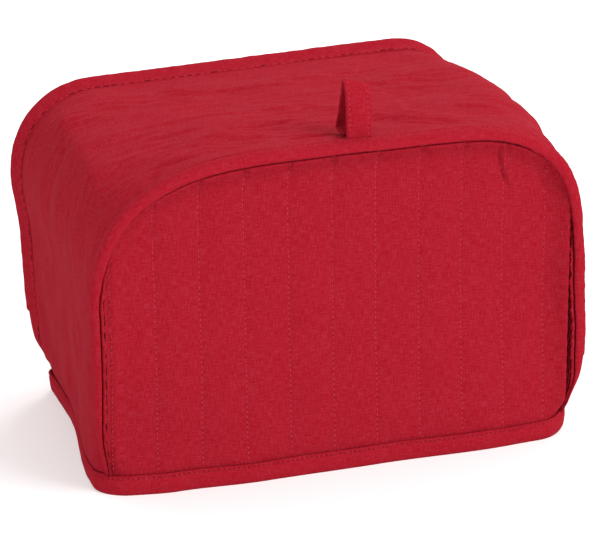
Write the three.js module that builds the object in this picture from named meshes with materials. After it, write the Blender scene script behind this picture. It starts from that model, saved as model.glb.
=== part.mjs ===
// A quilted fabric cover for a small kitchen appliance: two D-shaped quilted
// panels joined by one quilted band, with folded tape over both seams and round
// the bottom edge, and a hanging loop at the middle of the front seam.
// Millimetres: x runs left to right, y front to back, z up.
import * as THREE from "three";

// Main sizes, taken at the seam lines.
const HALF_WIDTH = 143;
const DEPTH = 178;
const FRONT_HEIGHT = 196.5;
const BACK_HEIGHT = { left: 190.8, right: 196.5 };
const GAP = 0.3;

// The arch of each panel: how far each top corner reaches in and down, and how
// square it is.
const FRONT_ARCH = {
  left: { height: FRONT_HEIGHT, in: 103, down: 66.5, power: 2.3 },
  right: { height: FRONT_HEIGHT, in: 82, down: 64, power: 2.4 },
};
const BACK_ARCH = {
  left: { height: BACK_HEIGHT.left, in: 52, down: 54, power: 2.3 },
  right: { height: BACK_HEIGHT.right, in: 45, down: 50, power: 2.3 },
};
const CORNER_FILL = { left: 0, right: 12 };

// Quilting: straight stitched lines, with the cloth puffed up between them.
const QUILT = { pitch: 26, lines: 10, middle: 5.5 };
const BAND_CHANNELS = 7;
const HALF_THICK = { stitched: 0.6, crown: 1.5, seam: 0.85, hem: 0.7 };
const PUFF_POWER = 0.7;

// Columns of a panel between and beside its quilting lines, places of the band
// next to its seams and of the hem tape next to each corner.
const COLUMN_STEPS = { beside: 6, between: 3, crowding: 2.2 };
const BAND_NEAR_SEAM = [6, 12];
const HEM_NEAR_CORNER = [1.1, 2.6];
const SEAM_TRIES = 12;

// The hem tape stands on the floor and holds the lower edge of the cloth.
const HEM_TOP = 12;
const HEM_FLOOR = 1;
const CLOTH_BOTTOM = HEM_FLOOR + GAP;
const TUCK_TOP = HEM_TOP + GAP;
const BINDING_BOTTOM = HEM_TOP + 3 * GAP;
const LEG_ROWS = 7;
const HEM_ROWS = 2;

// The seam allowance that both pieces turn out into the binding.
const RIM_LENGTH = 8.4;
const RIM_AT_HEM = 0.6;
const RIM_FULL_ABOVE_HEM = 30;
const BODY_INSET = 4;

// How the seam allowance leans along the seam: share of the seam from the left
// foot over the arch to the right foot, and degrees outward from straight ahead.
const FRONT_LEAN = [
  { share: 0, degrees: 16 },
  { share: 0.06, degrees: 25 },
  { share: 0.19, degrees: 26 },
  { share: 0.25, degrees: -6 },
  { share: 0.32, degrees: -12 },
  { share: 0.4, degrees: -22 },
  { share: 0.5, degrees: -17 },
  { share: 0.62, degrees: -20 },
  { share: 0.75, degrees: -22 },
  { share: 0.83, degrees: -4 },
  { share: 0.9, degrees: 8 },
  { share: 1, degrees: 13 },
];
const BACK_LEAN = [
  { share: 0, degrees: 26 },
  { share: 0.2, degrees: 26 },
  { share: 0.35, degrees: 28 },
  { share: 0.65, degrees: 28 },
  { share: 0.8, degrees: 20 },
  { share: 1, degrees: 14 },
];

// How the standing cloth departs from a plain box.
const FOOT_CORNER = { frontRadius: 13, backRadius: 9, height: 52, power: 6 };
const FRONT_FOOT_HEIGHT = 100;
const FRONT_FOOT_SET_BACK = [
  { x: -143, back: 9.5 },
  { x: -100, back: 3 },
  { x: -50, back: -1 },
  { x: 20, back: -2.5 },
  { x: 90, back: -6 },
  { x: 120, back: -5 },
  { x: 143, back: 1 },
];
const LEFT_LEAN_IN = [
  { z: 12, lean: 11.5 },
  { z: 35, lean: 6 },
  { z: 70, lean: 4.5 },
  { z: 100, lean: 4 },
  { z: 140, lean: 0 },
];
const LEAN_STARTS = 20;
const LEAN_LENGTH = 105;
const RIGHT_LEAN_SHARE = 0.35;
const TOP_SAG = { depth: 2.5, from: 150, over: 40 };

// The loop of doubled tape: where it stands and its side view.
const LOOP = { left: 1.5, width: 15, thick: 1.8, columns: 3, tilt: 0.28 };
const LOOP_PATH = [
  { y: 2.2, above: 1.2 },
  { y: 1.2, above: 10 },
  { y: 1.6, above: 22 },
  { y: 3.4, above: 30.2 },
  { y: 5.6, above: 30.4 },
  { y: 8.6, above: 22 },
  { y: 12.6, above: 11 },
  { y: 16.2, above: 3.4 },
  { y: 15.4, above: 0.9 },
  { y: 5.2, above: 0 },
];
const LOOP_STEPS = 30;

// Cross-sections. Flat columns (out, ahead) are measured from the seam line in
// the panel's plane and ahead of it; turned columns (far, side) are measured
// along the seam allowance and across it; tip says how much a point follows the
// end of the allowance where it is narrower.
const PANEL_RIM = [
  {
    face: { flat: [-2.6, 0.7], out: -2.7, ahead: 0.9 },
    inside: { flat: [-2.1, -0.7], out: -1.1, ahead: -0.9 },
  },
  {
    face: { flat: [-1.1, 0.7], far: 2.8, side: -1.2, tip: 0 },
    inside: { flat: [-1.2, -0.7], far: 0, side: -0.2, tip: 0 },
  },
  {
    face: { flat: [-0.4, 0.7], far: 4.6, side: -1.2, tip: 0.5 },
    inside: { flat: [-0.85, -0.35], far: 4.6, side: -0.2, tip: 0.5 },
  },
  {
    face: { flat: [0.2, 0.7], far: RIM_LENGTH, side: -1.2, tip: 1 },
    inside: { flat: [-0.2, 0.3], far: RIM_LENGTH, side: -0.2, tip: 1 },
  },
];
const BAND_RIM = [
  {
    face: { flat: [0.7, 0.2], far: RIM_LENGTH, side: 1.2, tip: 1 },
    inside: { flat: [0.3, -0.2], far: RIM_LENGTH, side: 0.2, tip: 1 },
  },
  {
    face: { flat: [0.7, -0.4], far: 4.6, side: 1.2, tip: 0.5 },
    inside: { flat: [-0.35, -0.85], far: 4.6, side: 0.2, tip: 0.5 },
  },
  {
    face: { flat: [0.7, -1.1], far: 1, side: 1.2, tip: 0 },
    inside: { flat: [-0.7, -1.2], far: 0, side: 0.2, tip: 0 },
  },
  {
    face: { flat: [0.7, -2.6], out: 1.2, ahead: -2 },
    inside: { flat: [-0.7, -2.1], out: 0.15, ahead: -2.2 },
  },
];
const BINDING_SECTION = [
  { far: 1, side: 2.45, tip: 0 },
  { far: 5, side: 2.6, tip: 0.5 },
  { far: 8.8, side: 2.4, tip: 1 },
  { far: 9.8, side: 1.4, tip: 1 },
  { far: 10.1, side: 0, tip: 1 },
  { far: 9.8, side: -1.4, tip: 1 },
  { far: 8.8, side: -2.4, tip: 1 },
  { far: 5, side: -2.6, tip: 0.5 },
  { far: 2.8, side: -2.45, tip: 0 },
  { far: 2.8, side: -1.5, tip: 0 },
  { far: 4.6, side: -1.5, tip: 0.5 },
  { far: 8.6, side: -1.5, tip: 1 },
  { far: 9.05, side: -0.8, tip: 1 },
  { far: 9.05, side: 0.8, tip: 1 },
  { far: 8.6, side: 1.5, tip: 1 },
  { far: 4.6, side: 1.5, tip: 0.5 },
  { far: 1, side: 1.5, tip: 0 },
];
const HEM_SECTION = [
  { out: 1, up: HEM_TOP },
  { out: 2, up: HEM_TOP - 0.6 },
  { out: 2.3, up: 2 },
  { out: 1.4, up: 0 },
  { out: -1.4, up: 0 },
  { out: -2.3, up: 2 },
  { out: -2, up: HEM_TOP - 0.6 },
  { out: -1, up: HEM_TOP },
  { out: -1, up: HEM_FLOOR + 0.4 },
  { out: -0.8, up: HEM_FLOOR },
  { out: 0.8, up: HEM_FLOOR },
  { out: 1, up: HEM_FLOOR + 0.4 },
];

const { clamp, lerp, smoothstep } = THREE.MathUtils;

/** Reads a short table of named columns, eased from row to row. */
function tableAt(table, key, value, at) {
  const last = table.length - 1;
  const place = clamp(at, table[0][key], table[last][key]);
  let row = 0;
  while (row < last - 1 && place > table[row + 1][key]) {
    row += 1;
  }
  const from = table[row];
  const to = table[row + 1];
  const share = (place - from[key]) / (to[key] - from[key]);
  return lerp(from[value], to[value], smoothstep(share, 0, 1));
}

/** Height and outward direction of an arch above a place across the panel. */
function archAt(arch, x) {
  const corner = x < 0 ? arch.left : arch.right;
  const side = x < 0 ? -1 : 1;
  const across = clamp((Math.abs(x) - (HALF_WIDTH - corner.in)) / corner.in, 0, 1);
  const up = (1 - across ** corner.power) ** (1 / corner.power);
  const outX = (side * across ** (corner.power - 1)) / corner.in;
  const outZ = up ** (corner.power - 1) / corner.down;
  const length = Math.hypot(outX, outZ);
  const crown = lerp(arch.left.height, arch.right.height, smoothstep(x, -HALF_WIDTH, HALF_WIDTH));
  return {
    x,
    z: crown - corner.down * (1 - up),
    outX: outX / length,
    outZ: outZ / length,
  };
}

/** Places of the quilting lines across the panels. */
function quiltLines() {
  return Array.from(
    { length: QUILT.lines },
    (_, line) => QUILT.middle + (line - (QUILT.lines - 1) / 2) * QUILT.pitch,
  );
}

/** Columns of a panel's body: the quilting lines and places between them. */
function panelColumns() {
  const edge = HALF_WIDTH - BODY_INSET;
  const lines = quiltLines();
  const columns = [];
  const { beside: steps, between, crowding } = COLUMN_STEPS;
  for (let step = 0; step < steps; step += 1) {
    columns.push(-edge + (lines[0] + edge) * (step / steps) ** crowding);
  }
  for (let line = 0; line < lines.length - 1; line += 1) {
    for (let step = 0; step < between; step += 1) {
      columns.push(lines[line] + (QUILT.pitch * step) / between);
    }
  }
  const last = lines[lines.length - 1];
  for (let step = steps; step >= 0; step -= 1) {
    columns.push(edge - (edge - last) * (step / steps) ** crowding);
  }
  return columns;
}

/** Seam-line place whose inset point lies on a body column. */
function seamAbove(arch, column) {
  let seam = archAt(arch, column);
  for (let turn = 0; turn < SEAM_TRIES; turn += 1) {
    seam = archAt(arch, clamp(column + BODY_INSET * seam.outX, -HALF_WIDTH, HALF_WIDTH));
  }
  return seam;
}

/** Heights of the rows on a straight leg, from the lower edge to the arch. */
function legHeights(top) {
  const heights = [CLOTH_BOTTOM, TUCK_TOP];
  for (let row = 0; row < LEG_ROWS; row += 1) {
    heights.push(lerp(BINDING_BOTTOM, top, row / LEG_ROWS));
  }
  return heights;
}

/** All stations of a seam, from the left foot over the arch to the right foot. */
function seamStations(arch, leanTable) {
  const arched = panelColumns().map((column) => seamAbove(arch, column));
  const leftLeg = legHeights(arched[0].z).map((z) => ({ x: -HALF_WIDTH, z, outX: -1, outZ: 0 }));
  const rightLeg = legHeights(arched[arched.length - 1].z)
    .map((z) => ({ x: HALF_WIDTH, z, outX: 1, outZ: 0 }))
    .reverse();
  const stations = [...leftLeg, ...arched, ...rightLeg];
  let run = 0;
  stations.forEach((station, index) => {
    const before = stations[Math.max(index - 1, 0)];
    run += Math.hypot(station.x - before.x, station.z - before.z);
    station.run = run;
  });
  stations.forEach((station) => {
    const degrees = tableAt(leanTable, "share", "degrees", station.run / run);
    station.lean = THREE.MathUtils.degToRad(degrees);
    station.turned = station.z >= BINDING_BOTTOM;
    const grown = smoothstep(station.z, BINDING_BOTTOM, BINDING_BOTTOM + RIM_FULL_ABOVE_HEM);
    station.rim = lerp(RIM_AT_HEM, 1, grown);
  });
  return stations;
}

/** Point beside a seam, out in the panel's plane and ahead of it. */
function beside(seam, station, out, ahead) {
  return new THREE.Vector3(
    station.x + out * station.outX,
    seam.y + ahead * seam.ahead,
    station.z + out * station.outZ,
  );
}

/** Point on the turned-out allowance, far along it and to its side. */
function onRim(seam, station, { far, side, tip }) {
  const reach = far - RIM_LENGTH * (1 - station.rim) * tip;
  const sine = Math.sin(station.lean);
  const cosine = Math.cos(station.lean);
  return beside(seam, station, reach * sine + side * cosine, reach * cosine - side * sine);
}

/** Point of a rim section: flat inside the hem, turned out above it. */
function rimPoint(seam, station, spot) {
  if (!station.turned) {
    return beside(seam, station, spot.flat[0], spot.flat[1]);
  }
  if (spot.out !== undefined) {
    return beside(seam, station, spot.out, spot.ahead);
  }
  return onRim(seam, station, spot);
}

/** Cloth rounds off toward the foot, leans and sags a little as it stands. */
function stand(point) {
  const side = Math.sign(point.x);
  const end = Math.sign(point.y - DEPTH / 2);
  const rounding = end < 0 ? FOOT_CORNER.frontRadius : FOOT_CORNER.backRadius;
  const radius = rounding * (1 - smoothstep(point.z, HEM_TOP, FOOT_CORNER.height));
  const pastX = Math.abs(point.x) - (HALF_WIDTH - radius);
  const pastY = Math.abs(point.y - DEPTH / 2) - (DEPTH / 2 - radius);
  if (radius > 0 && pastX > 0 && pastY > 0) {
    const square = (pastX ** FOOT_CORNER.power + pastY ** FOOT_CORNER.power) ** (1 / FOOT_CORNER.power);
    const pull = square / Math.hypot(pastX, pastY);
    point.x = side * (HALF_WIDTH - radius + pastX * pull);
    point.y = DEPTH / 2 + end * (DEPTH / 2 - radius + pastY * pull);
  }
  const alongDepth = clamp(point.y / DEPTH, 0, 1);
  const foot = 1 - smoothstep(point.z, HEM_TOP, FRONT_FOOT_HEIGHT);
  const setBack = tableAt(FRONT_FOOT_SET_BACK, "x", "back", point.x);
  const leanIn =
    tableAt(LEFT_LEAN_IN, "z", "lean", point.z) *
    smoothstep(point.y, LEAN_STARTS, LEAN_STARTS + LEAN_LENGTH) *
    Math.min(Math.abs(point.x) / HALF_WIDTH, 1) ** 2;
  point.y += setBack * foot * (1 - alongDepth);
  point.x += point.x < 0 ? leanIn : -leanIn * RIGHT_LEAN_SHARE;
  const high = smoothstep(point.z, TOP_SAG.from, TOP_SAG.from + TOP_SAG.over);
  point.z -= TOP_SAG.depth * Math.sin(Math.PI * alongDepth) * high;
  return point;
}

/** Makes a closed sheet from paired face and inside points and a face mesh. */
function closedSheet(face, inside, triangles) {
  const count = face.length;
  const indices = [];
  const edges = new Map();
  triangles.forEach(([a, b, c]) => {
    indices.push(a, b, c, count + a, count + c, count + b);
    [[a, b], [b, c], [c, a]].forEach(([from, to]) => {
      const twin = `${to},${from}`;
      if (edges.has(twin)) {
        edges.delete(twin);
      } else {
        edges.set(`${from},${to}`, [from, to]);
      }
    });
  });
  edges.forEach(([from, to]) => {
    indices.push(from, count + from, to, to, count + from, count + to);
  });
  return outwardGeometry([...face, ...inside], indices);
}

/** Makes a closed sweep of section rings, capped unless it closes on itself. */
function closedSweep(rings, outline, isLoop) {
  const size = outline.length;
  const indices = [];
  const spans = isLoop ? rings.length : rings.length - 1;
  for (let ring = 0; ring < spans; ring += 1) {
    const next = (ring + 1) % rings.length;
    for (let spot = 0; spot < size; spot += 1) {
      const beyond = (spot + 1) % size;
      const a = ring * size + spot;
      const b = ring * size + beyond;
      const c = next * size + beyond;
      const d = next * size + spot;
      indices.push(a, b, c, a, c, d);
    }
  }
  if (!isLoop) {
    const last = (rings.length - 1) * size;
    THREE.ShapeUtils.triangulateShape(outline, []).forEach(([a, b, c]) => {
      const wound = THREE.ShapeUtils.isClockWise(outline) ? [a, b, c] : [a, c, b];
      indices.push(...wound, last + wound[0], last + wound[2], last + wound[1]);
    });
  }
  return outwardGeometry(rings.flat(), indices);
}

/** Turns points and indices into a geometry whose faces point outward. */
function outwardGeometry(points, indices) {
  let volume = 0;
  for (let at = 0; at < indices.length; at += 3) {
    const [a, b, c] = [points[indices[at]], points[indices[at + 1]], points[indices[at + 2]]];
    volume += a.dot(b.clone().cross(c));
  }
  const ordered = volume < 0 ? [...indices].reverse() : indices;
  const geometry = new THREE.BufferGeometry().setFromPoints(points);
  geometry.setIndex(ordered);
  geometry.computeVertexNormals();
  return geometry;
}

/** Cells of a grid of points, two triangles each. */
function gridTriangles(rows, columns, indexOf) {
  const triangles = [];
  for (let row = 0; row < rows - 1; row += 1) {
    for (let column = 0; column < columns - 1; column += 1) {
      const a = indexOf(row, column);
      const b = indexOf(row, column + 1);
      const c = indexOf(row + 1, column + 1);
      const d = indexOf(row + 1, column);
      triangles.push([a, b, c], [a, c, d]);
    }
  }
  return triangles;
}

/** How far the cloth puffs up between two neighbouring stitched lines. */
function puffBetween(lines, at) {
  let channel = 0;
  while (channel < lines.length - 2 && at > lines[channel + 1]) {
    channel += 1;
  }
  const share = clamp((at - lines[channel]) / (lines[channel + 1] - lines[channel]), 0, 1);
  return Math.sin(Math.PI * share) ** PUFF_POWER;
}

/** A quilted D-shaped panel with its rim turned out along the seam. */
function panelGeometry(seam) {
  const columns = panelColumns();
  const edge = HALF_WIDTH - BODY_INSET;
  const lines = [-edge, ...quiltLines(), edge];
  const legCount = LEG_ROWS + HEM_ROWS;
  const rows = legCount + 1;
  const face = [];
  const inside = [];
  for (let row = 0; row < rows; row += 1) {
    columns.forEach((x, column) => {
      const station = seam.stations[legCount + column];
      const top = station.z - BODY_INSET * station.outZ;
      const z = row === rows - 1 ? top : legHeights(top)[row];
      const half = panelHalfThickness(lines, row, rows, x);
      face.push(new THREE.Vector3(x, seam.y + half * seam.ahead, z));
      inside.push(new THREE.Vector3(x, seam.y - half * seam.ahead, z));
    });
  }
  const bodyIndex = (row, column) => row * columns.length + column;
  const triangles = gridTriangles(rows, columns.length, bodyIndex);
  const border = [];
  for (let row = 0; row < rows - 1; row += 1) {
    border.push(bodyIndex(row, 0));
  }
  columns.forEach((_, column) => border.push(bodyIndex(rows - 1, column)));
  for (let row = rows - 2; row >= 0; row -= 1) {
    border.push(bodyIndex(row, columns.length - 1));
  }
  const start = face.length;
  PANEL_RIM.forEach((spot) => {
    seam.stations.forEach((station) => {
      face.push(rimPoint(seam, station, spot.face));
      inside.push(rimPoint(seam, station, spot.inside));
    });
  });
  const count = seam.stations.length;
  const rimIndex = (ring, place) => (ring === 0 ? border[place] : start + (ring - 1) * count + place);
  triangles.push(...gridTriangles(PANEL_RIM.length + 1, count, rimIndex));
  return closedSheet(face.map(stand), inside.map(stand), triangles);
}

/** Half of a panel's thickness at a row and a place across it. */
function panelHalfThickness(lines, row, rows, x) {
  if (row < HEM_ROWS) {
    return HALF_THICK.hem;
  }
  if (row === HEM_ROWS || row === rows - 1 || Math.abs(x) >= HALF_WIDTH - BODY_INSET) {
    return HALF_THICK.seam;
  }
  return lerp(HALF_THICK.stitched, HALF_THICK.crown, puffBetween(lines, x));
}

/** Places across the band between its two turned-out edges. */
function bandColumns() {
  const channel = DEPTH / BAND_CHANNELS;
  const columns = [...BAND_NEAR_SEAM];
  for (let line = 1; line < BAND_CHANNELS; line += 1) {
    columns.push(channel * line);
    if (line < BAND_CHANNELS - 1) {
      columns.push(channel * (line + 0.5));
    }
  }
  return [...columns, ...BAND_NEAR_SEAM.map((near) => DEPTH - near).reverse()];
}

/** Seam-line place part of the way from the front seam to the back seam. */
function stationBetween(front, back, index, share) {
  const from = front.stations[index];
  const to = back.stations[index];
  const out = new THREE.Vector2(lerp(from.outX, to.outX, share), lerp(from.outZ, to.outZ, share));
  out.normalize();
  const corner = out.x < 0 ? CORNER_FILL.left : CORNER_FILL.right;
  const fill = corner * 2 * Math.abs(out.x * out.y) * Math.sin(Math.PI * share);
  return {
    x: lerp(from.x, to.x, share) + fill * out.x,
    z: lerp(from.z, to.z, share) + fill * out.y,
    outX: out.x,
    outZ: out.y,
    turned: from.turned,
  };
}

/** The one quilted band: left side, top and right side in one length. */
function bandGeometry(front, back) {
  const channel = DEPTH / BAND_CHANNELS;
  const lines = Array.from({ length: BAND_CHANNELS + 1 }, (_, line) => line * channel);
  const columns = bandColumns();
  const face = [];
  const inside = [];
  front.stations.forEach((station, index) => {
    BAND_RIM.forEach((spot) => {
      face.push(rimPoint(front, station, spot.face));
      inside.push(rimPoint(front, station, spot.inside));
    });
    columns.forEach((y) => {
      const place = stationBetween(front, back, index, y / DEPTH);
      const puffed = lerp(HALF_THICK.stitched, HALF_THICK.crown, puffBetween(lines, y));
      const atHem = station.turned ? HALF_THICK.seam : HALF_THICK.hem;
      const half = place.z > BINDING_BOTTOM + GAP ? puffed : atHem;
      face.push(new THREE.Vector3(place.x + half * place.outX, y, place.z + half * place.outZ));
      inside.push(new THREE.Vector3(place.x - half * place.outX, y, place.z - half * place.outZ));
    });
    const far = back.stations[index];
    [...BAND_RIM].reverse().forEach((spot) => {
      face.push(rimPoint(back, far, spot.face));
      inside.push(rimPoint(back, far, spot.inside));
    });
  });
  const width = columns.length + 2 * BAND_RIM.length;
  const triangles = gridTriangles(
    front.stations.length,
    width,
    (row, column) => row * width + column,
  );
  return closedSheet(face.map(stand), inside.map(stand), triangles);
}

/** Folded tape over one seam, from the hem on the left over to the right. */
function bindingGeometry(seam) {
  const outline = BINDING_SECTION.map(({ far, side }) => new THREE.Vector2(far, side));
  const rings = seam.stations
    .filter((station) => station.turned)
    .map((station) => BINDING_SECTION.map((spot) => stand(onRim(seam, station, spot))));
  return closedSweep(rings, outline, false);
}

/** Places round the foot of the cover, each with its two outward directions. */
function footPlaces() {
  const start = HEM_NEAR_CORNER.map((near) => near - HALF_WIDTH);
  const end = HEM_NEAR_CORNER.map((near) => HALF_WIDTH - near).reverse();
  const across = [...start, ...panelColumns(), ...end];
  const far = HEM_NEAR_CORNER.map((near) => DEPTH - near).reverse();
  const along = [...HEM_NEAR_CORNER, ...bandColumns(), ...far];
  const places = [];
  const corner = (x, y) => places.push({ x, y, outX: Math.sign(x), outY: y > 0 ? 1 : -1 });
  corner(-HALF_WIDTH, 0);
  across.forEach((x) => places.push({ x, y: 0, outX: 0, outY: -1 }));
  corner(HALF_WIDTH, 0);
  along.forEach((y) => places.push({ x: HALF_WIDTH, y, outX: 1, outY: 0 }));
  corner(HALF_WIDTH, DEPTH);
  [...across].reverse().forEach((x) => places.push({ x, y: DEPTH, outX: 0, outY: 1 }));
  corner(-HALF_WIDTH, DEPTH);
  [...along].reverse().forEach((y) => places.push({ x: -HALF_WIDTH, y, outX: -1, outY: 0 }));
  return places;
}

/** Folded tape round the lower edge of both panels and the band. */
function hemGeometry() {
  const outline = HEM_SECTION.map(({ out, up }) => new THREE.Vector2(out, up));
  const rings = footPlaces().map((place) =>
    HEM_SECTION.map(({ out, up }) =>
      stand(new THREE.Vector3(place.x + out * place.outX, place.y + out * place.outY, up)),
    ),
  );
  return closedSweep(rings, outline, true);
}

/** Doubled tape that rises from the front seam, folds over and comes back. */
function loopGeometry() {
  const base = FRONT_HEIGHT + HALF_THICK.crown + GAP + LOOP.thick / 2;
  const path = new THREE.CatmullRomCurve3(
    LOOP_PATH.map(({ y, above }) => new THREE.Vector3(0, y, base + above)),
  );
  const tallest = Math.max(...LOOP_PATH.map(({ above }) => above));
  const face = [];
  const inside = [];
  for (let step = 0; step <= LOOP_STEPS; step += 1) {
    const middle = path.getPoint(step / LOOP_STEPS);
    const along = path.getTangent(step / LOOP_STEPS);
    const raised = clamp((middle.z - base) / tallest, 0, 1);
    for (let column = 0; column < LOOP.columns; column += 1) {
      const across = (LOOP.width * column) / (LOOP.columns - 1);
      const x = LOOP.left + across;
      const z = middle.z - LOOP.tilt * across * raised;
      const offset = LOOP.thick / 2;
      face.push(new THREE.Vector3(x, middle.y - along.z * offset, z + along.y * offset));
      inside.push(new THREE.Vector3(x, middle.y + along.z * offset, z - along.y * offset));
    }
  }
  const triangles = gridTriangles(
    LOOP_STEPS + 1,
    LOOP.columns,
    (row, column) => row * LOOP.columns + column,
  );
  return closedSheet(face.map(stand), inside.map(stand), triangles);
}

/** A cotton cloth finish in one colour. */
function cottonMaterial(color) {
  return new THREE.MeshStandardMaterial({ color, roughness: 0.9, metalness: 0 });
}

/** Adds a named piece to the group. */
function addPiece(group, name, geometry, material) {
  const mesh = new THREE.Mesh(geometry, material);
  mesh.name = name;
  group.add(mesh);
}

const quiltedCotton = 0xb02231;
const tapeCotton = 0xb4222f;

const front = { y: 0, ahead: -1, stations: seamStations(FRONT_ARCH, FRONT_LEAN) };
const back = { y: DEPTH, ahead: 1, stations: seamStations(BACK_ARCH, BACK_LEAN) };

const cover = new THREE.Group();
addPiece(cover, "front_panel", panelGeometry(front), cottonMaterial(quiltedCotton));
addPiece(cover, "back_panel", panelGeometry(back), cottonMaterial(quiltedCotton));
addPiece(cover, "gusset", bandGeometry(front, back), cottonMaterial(quiltedCotton));
addPiece(cover, "front_binding", bindingGeometry(front), cottonMaterial(tapeCotton));
addPiece(cover, "back_binding", bindingGeometry(back), cottonMaterial(tapeCotton));
addPiece(cover, "hem_binding", hemGeometry(), cottonMaterial(tapeCotton));
addPiece(cover, "hanging_loop", loopGeometry(), cottonMaterial(tapeCotton));

// The part stands with the middle of its floor area at the origin.
const bounds = new THREE.Box3().setFromObject(cover);
const middle = bounds.getCenter(new THREE.Vector3());
cover.position.set(-middle.x, -middle.y, -bounds.min.z);
cover.updateMatrixWorld(true);

export default cover;
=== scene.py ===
"""A quilted cotton toaster cover: two arched panels and one band of quilted cloth,
folded tape over both seams and the lower edge, and a hanging loop.

Sizes are in millimetres up to the moment a mesh is made, then metres.
"""
import logging
import math
from dataclasses import dataclass, field
from enum import Enum
from functools import partial
from typing import Any, NamedTuple, Sequence

import bpy
import numpy as np
from mathutils import Matrix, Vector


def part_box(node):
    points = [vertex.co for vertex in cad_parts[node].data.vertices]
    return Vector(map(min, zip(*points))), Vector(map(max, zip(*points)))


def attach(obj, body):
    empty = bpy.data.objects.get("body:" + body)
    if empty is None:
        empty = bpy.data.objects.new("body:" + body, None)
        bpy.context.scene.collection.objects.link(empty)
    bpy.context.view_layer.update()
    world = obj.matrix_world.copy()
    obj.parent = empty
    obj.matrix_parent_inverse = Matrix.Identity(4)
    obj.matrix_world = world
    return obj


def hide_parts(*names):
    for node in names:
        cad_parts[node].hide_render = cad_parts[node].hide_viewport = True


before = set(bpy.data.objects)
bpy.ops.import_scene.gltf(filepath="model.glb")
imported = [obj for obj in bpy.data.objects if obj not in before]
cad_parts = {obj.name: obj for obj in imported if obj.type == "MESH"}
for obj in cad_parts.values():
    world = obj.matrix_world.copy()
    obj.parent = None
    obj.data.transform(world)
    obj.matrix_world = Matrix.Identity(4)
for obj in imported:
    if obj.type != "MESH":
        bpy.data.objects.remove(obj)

Array = np.ndarray
Stops = tuple[tuple[float, float], ...]
Sewn = tuple[bpy.types.Object, list[Array]]
MM = 0.001
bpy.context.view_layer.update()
log = logging.getLogger("cover")


class Crease(NamedTuple):
    """A soft trough or ridge: middle, length, turn in degrees, width, height."""

    across: float
    along: float
    length: float
    turn: float
    width: float
    height: float
    bow: float = 0.0


class Wear(Enum):
    """Which of the two cotton cloths a piece is cut from."""

    QUILTED = "quilted_cotton"
    TAPE = "cotton_tape"


# Main sizes, taken at the seam lines.
HALF_WIDTH = 143.0
DEPTH = 178.0
HEM_TOP = 12.0
CLOTH_BOTTOM = 1.3
TUCK_TOP = 12.3
BINDING_BOTTOM = 12.9
RIM_LENGTH = 8.4
RIM_AT_HEM = 0.5
RIM_END = 0.25
RIM_FULL_ABOVE_HEM = 30.0
BODY_INSET = 4.0
BORDER = HALF_WIDTH - BODY_INSET
SEAM_TRIES = 12
QUILT_LINES = tuple(5.5 + 26.0 * (line - 4.5) for line in range(10))
BAND_CHANNELS = 7
CORNER_FILL_RIGHT = 12.0
CREASE_LEFT = 8.0
CREASE_TURN = (43.0, 60.0)
CREASE_SPREAD = 20.0
CREASE_ROUND = 0.015
CREASE_PEAK = 0.12

# How the standing cloth departs from a plain box.
FOOT_FRONT_RADIUS = 16.0
FOOT_BACK_RADIUS = 9.0
FOOT_HEIGHT = 52.0
FRONT_FOOT_HEIGHT = 100.0
FRONT_FOOT_SET_BACK = (
    (-143, 9.5), (-100, 3), (-50, -1), (20, -2.5),
    (90, -6), (120, -5), (143, 1),
)
LEFT_LEAN_IN = ((12, 11.5), (35, 6), (70, 4.5), (100, 4), (140, 0))
LEAN_STARTS = 20.0
LEAN_LENGTH = 105.0
RIGHT_LEAN_SHARE = 0.35
TOP_SAG_DEPTH = 2.5
TOP_SAG_FROM = 150.0
TOP_SAG_OVER = 40.0


def ramp(value: Array, low: float, high: float) -> Array:
    """Smooth step from 0 at low to 1 at high."""
    share = np.clip((value - low) / (high - low), 0.0, 1.0)
    return share * share * (3.0 - 2.0 * share)


def eased(stops: Stops, at: Array) -> Array:
    """Reads a short table, eased from row to row.

    Args:
        stops: the table's rows in order, each a place and a value.
        at: the places to read it at.

    Returns:
        The table's value at each place.
    """
    places, values = np.array(stops, dtype=float).T
    inside = np.clip(at, places[0], places[-1])
    row = np.clip(np.searchsorted(places, inside) - 1, 0, len(places) - 2)
    share = ramp(inside, places[row], places[row + 1])
    return values[row] + (values[row + 1] - values[row]) * share


def bell(off: Array, width: float) -> Array:
    """A smooth hump: 1 in the middle, a third of that one width away."""
    return np.exp(-((off / width) ** 2))


def unevenness(across: Array, along: Array, size: float, seed: int) -> Array:
    """Soft random swelling, about -1 to 1, with bumps of one size in mm."""
    dice = np.random.default_rng(seed)
    total = np.zeros(np.broadcast(across, along).shape)
    waves = 9
    for _ in range(waves):
        turn, phase = dice.uniform(0, math.tau, 2)
        length = size * dice.uniform(0.75, 1.8)
        run = across * math.cos(turn) + along * math.sin(turn)
        total = total + np.sin(math.tau * run / length + phase)
    return total / math.sqrt(waves) / 1.5


class Swell(NamedTuple):
    """Soft random swelling: its height and the size of its bumps in mm."""

    height: float
    size: float

    def at(self, across: Array, along: Array, seed: int) -> Array:
        """The swelling at each place, in mm."""
        return self.height * unevenness(across, along, self.size, seed)


class Puckers(NamedTuple):
    """Fine waves beside a seam: height and length in mm, and how they sway."""

    height: float
    length: float
    sway: float
    sway_size: float

    def at(self, run: Array, across: Array, along: Array, seed: int) -> Array:
        """The waves' height in mm, for a run along the seam and a place."""
        sway = self.sway * unevenness(across, along, self.sway_size, seed)
        return self.height * np.sin(math.tau * run / self.length + sway)


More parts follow.
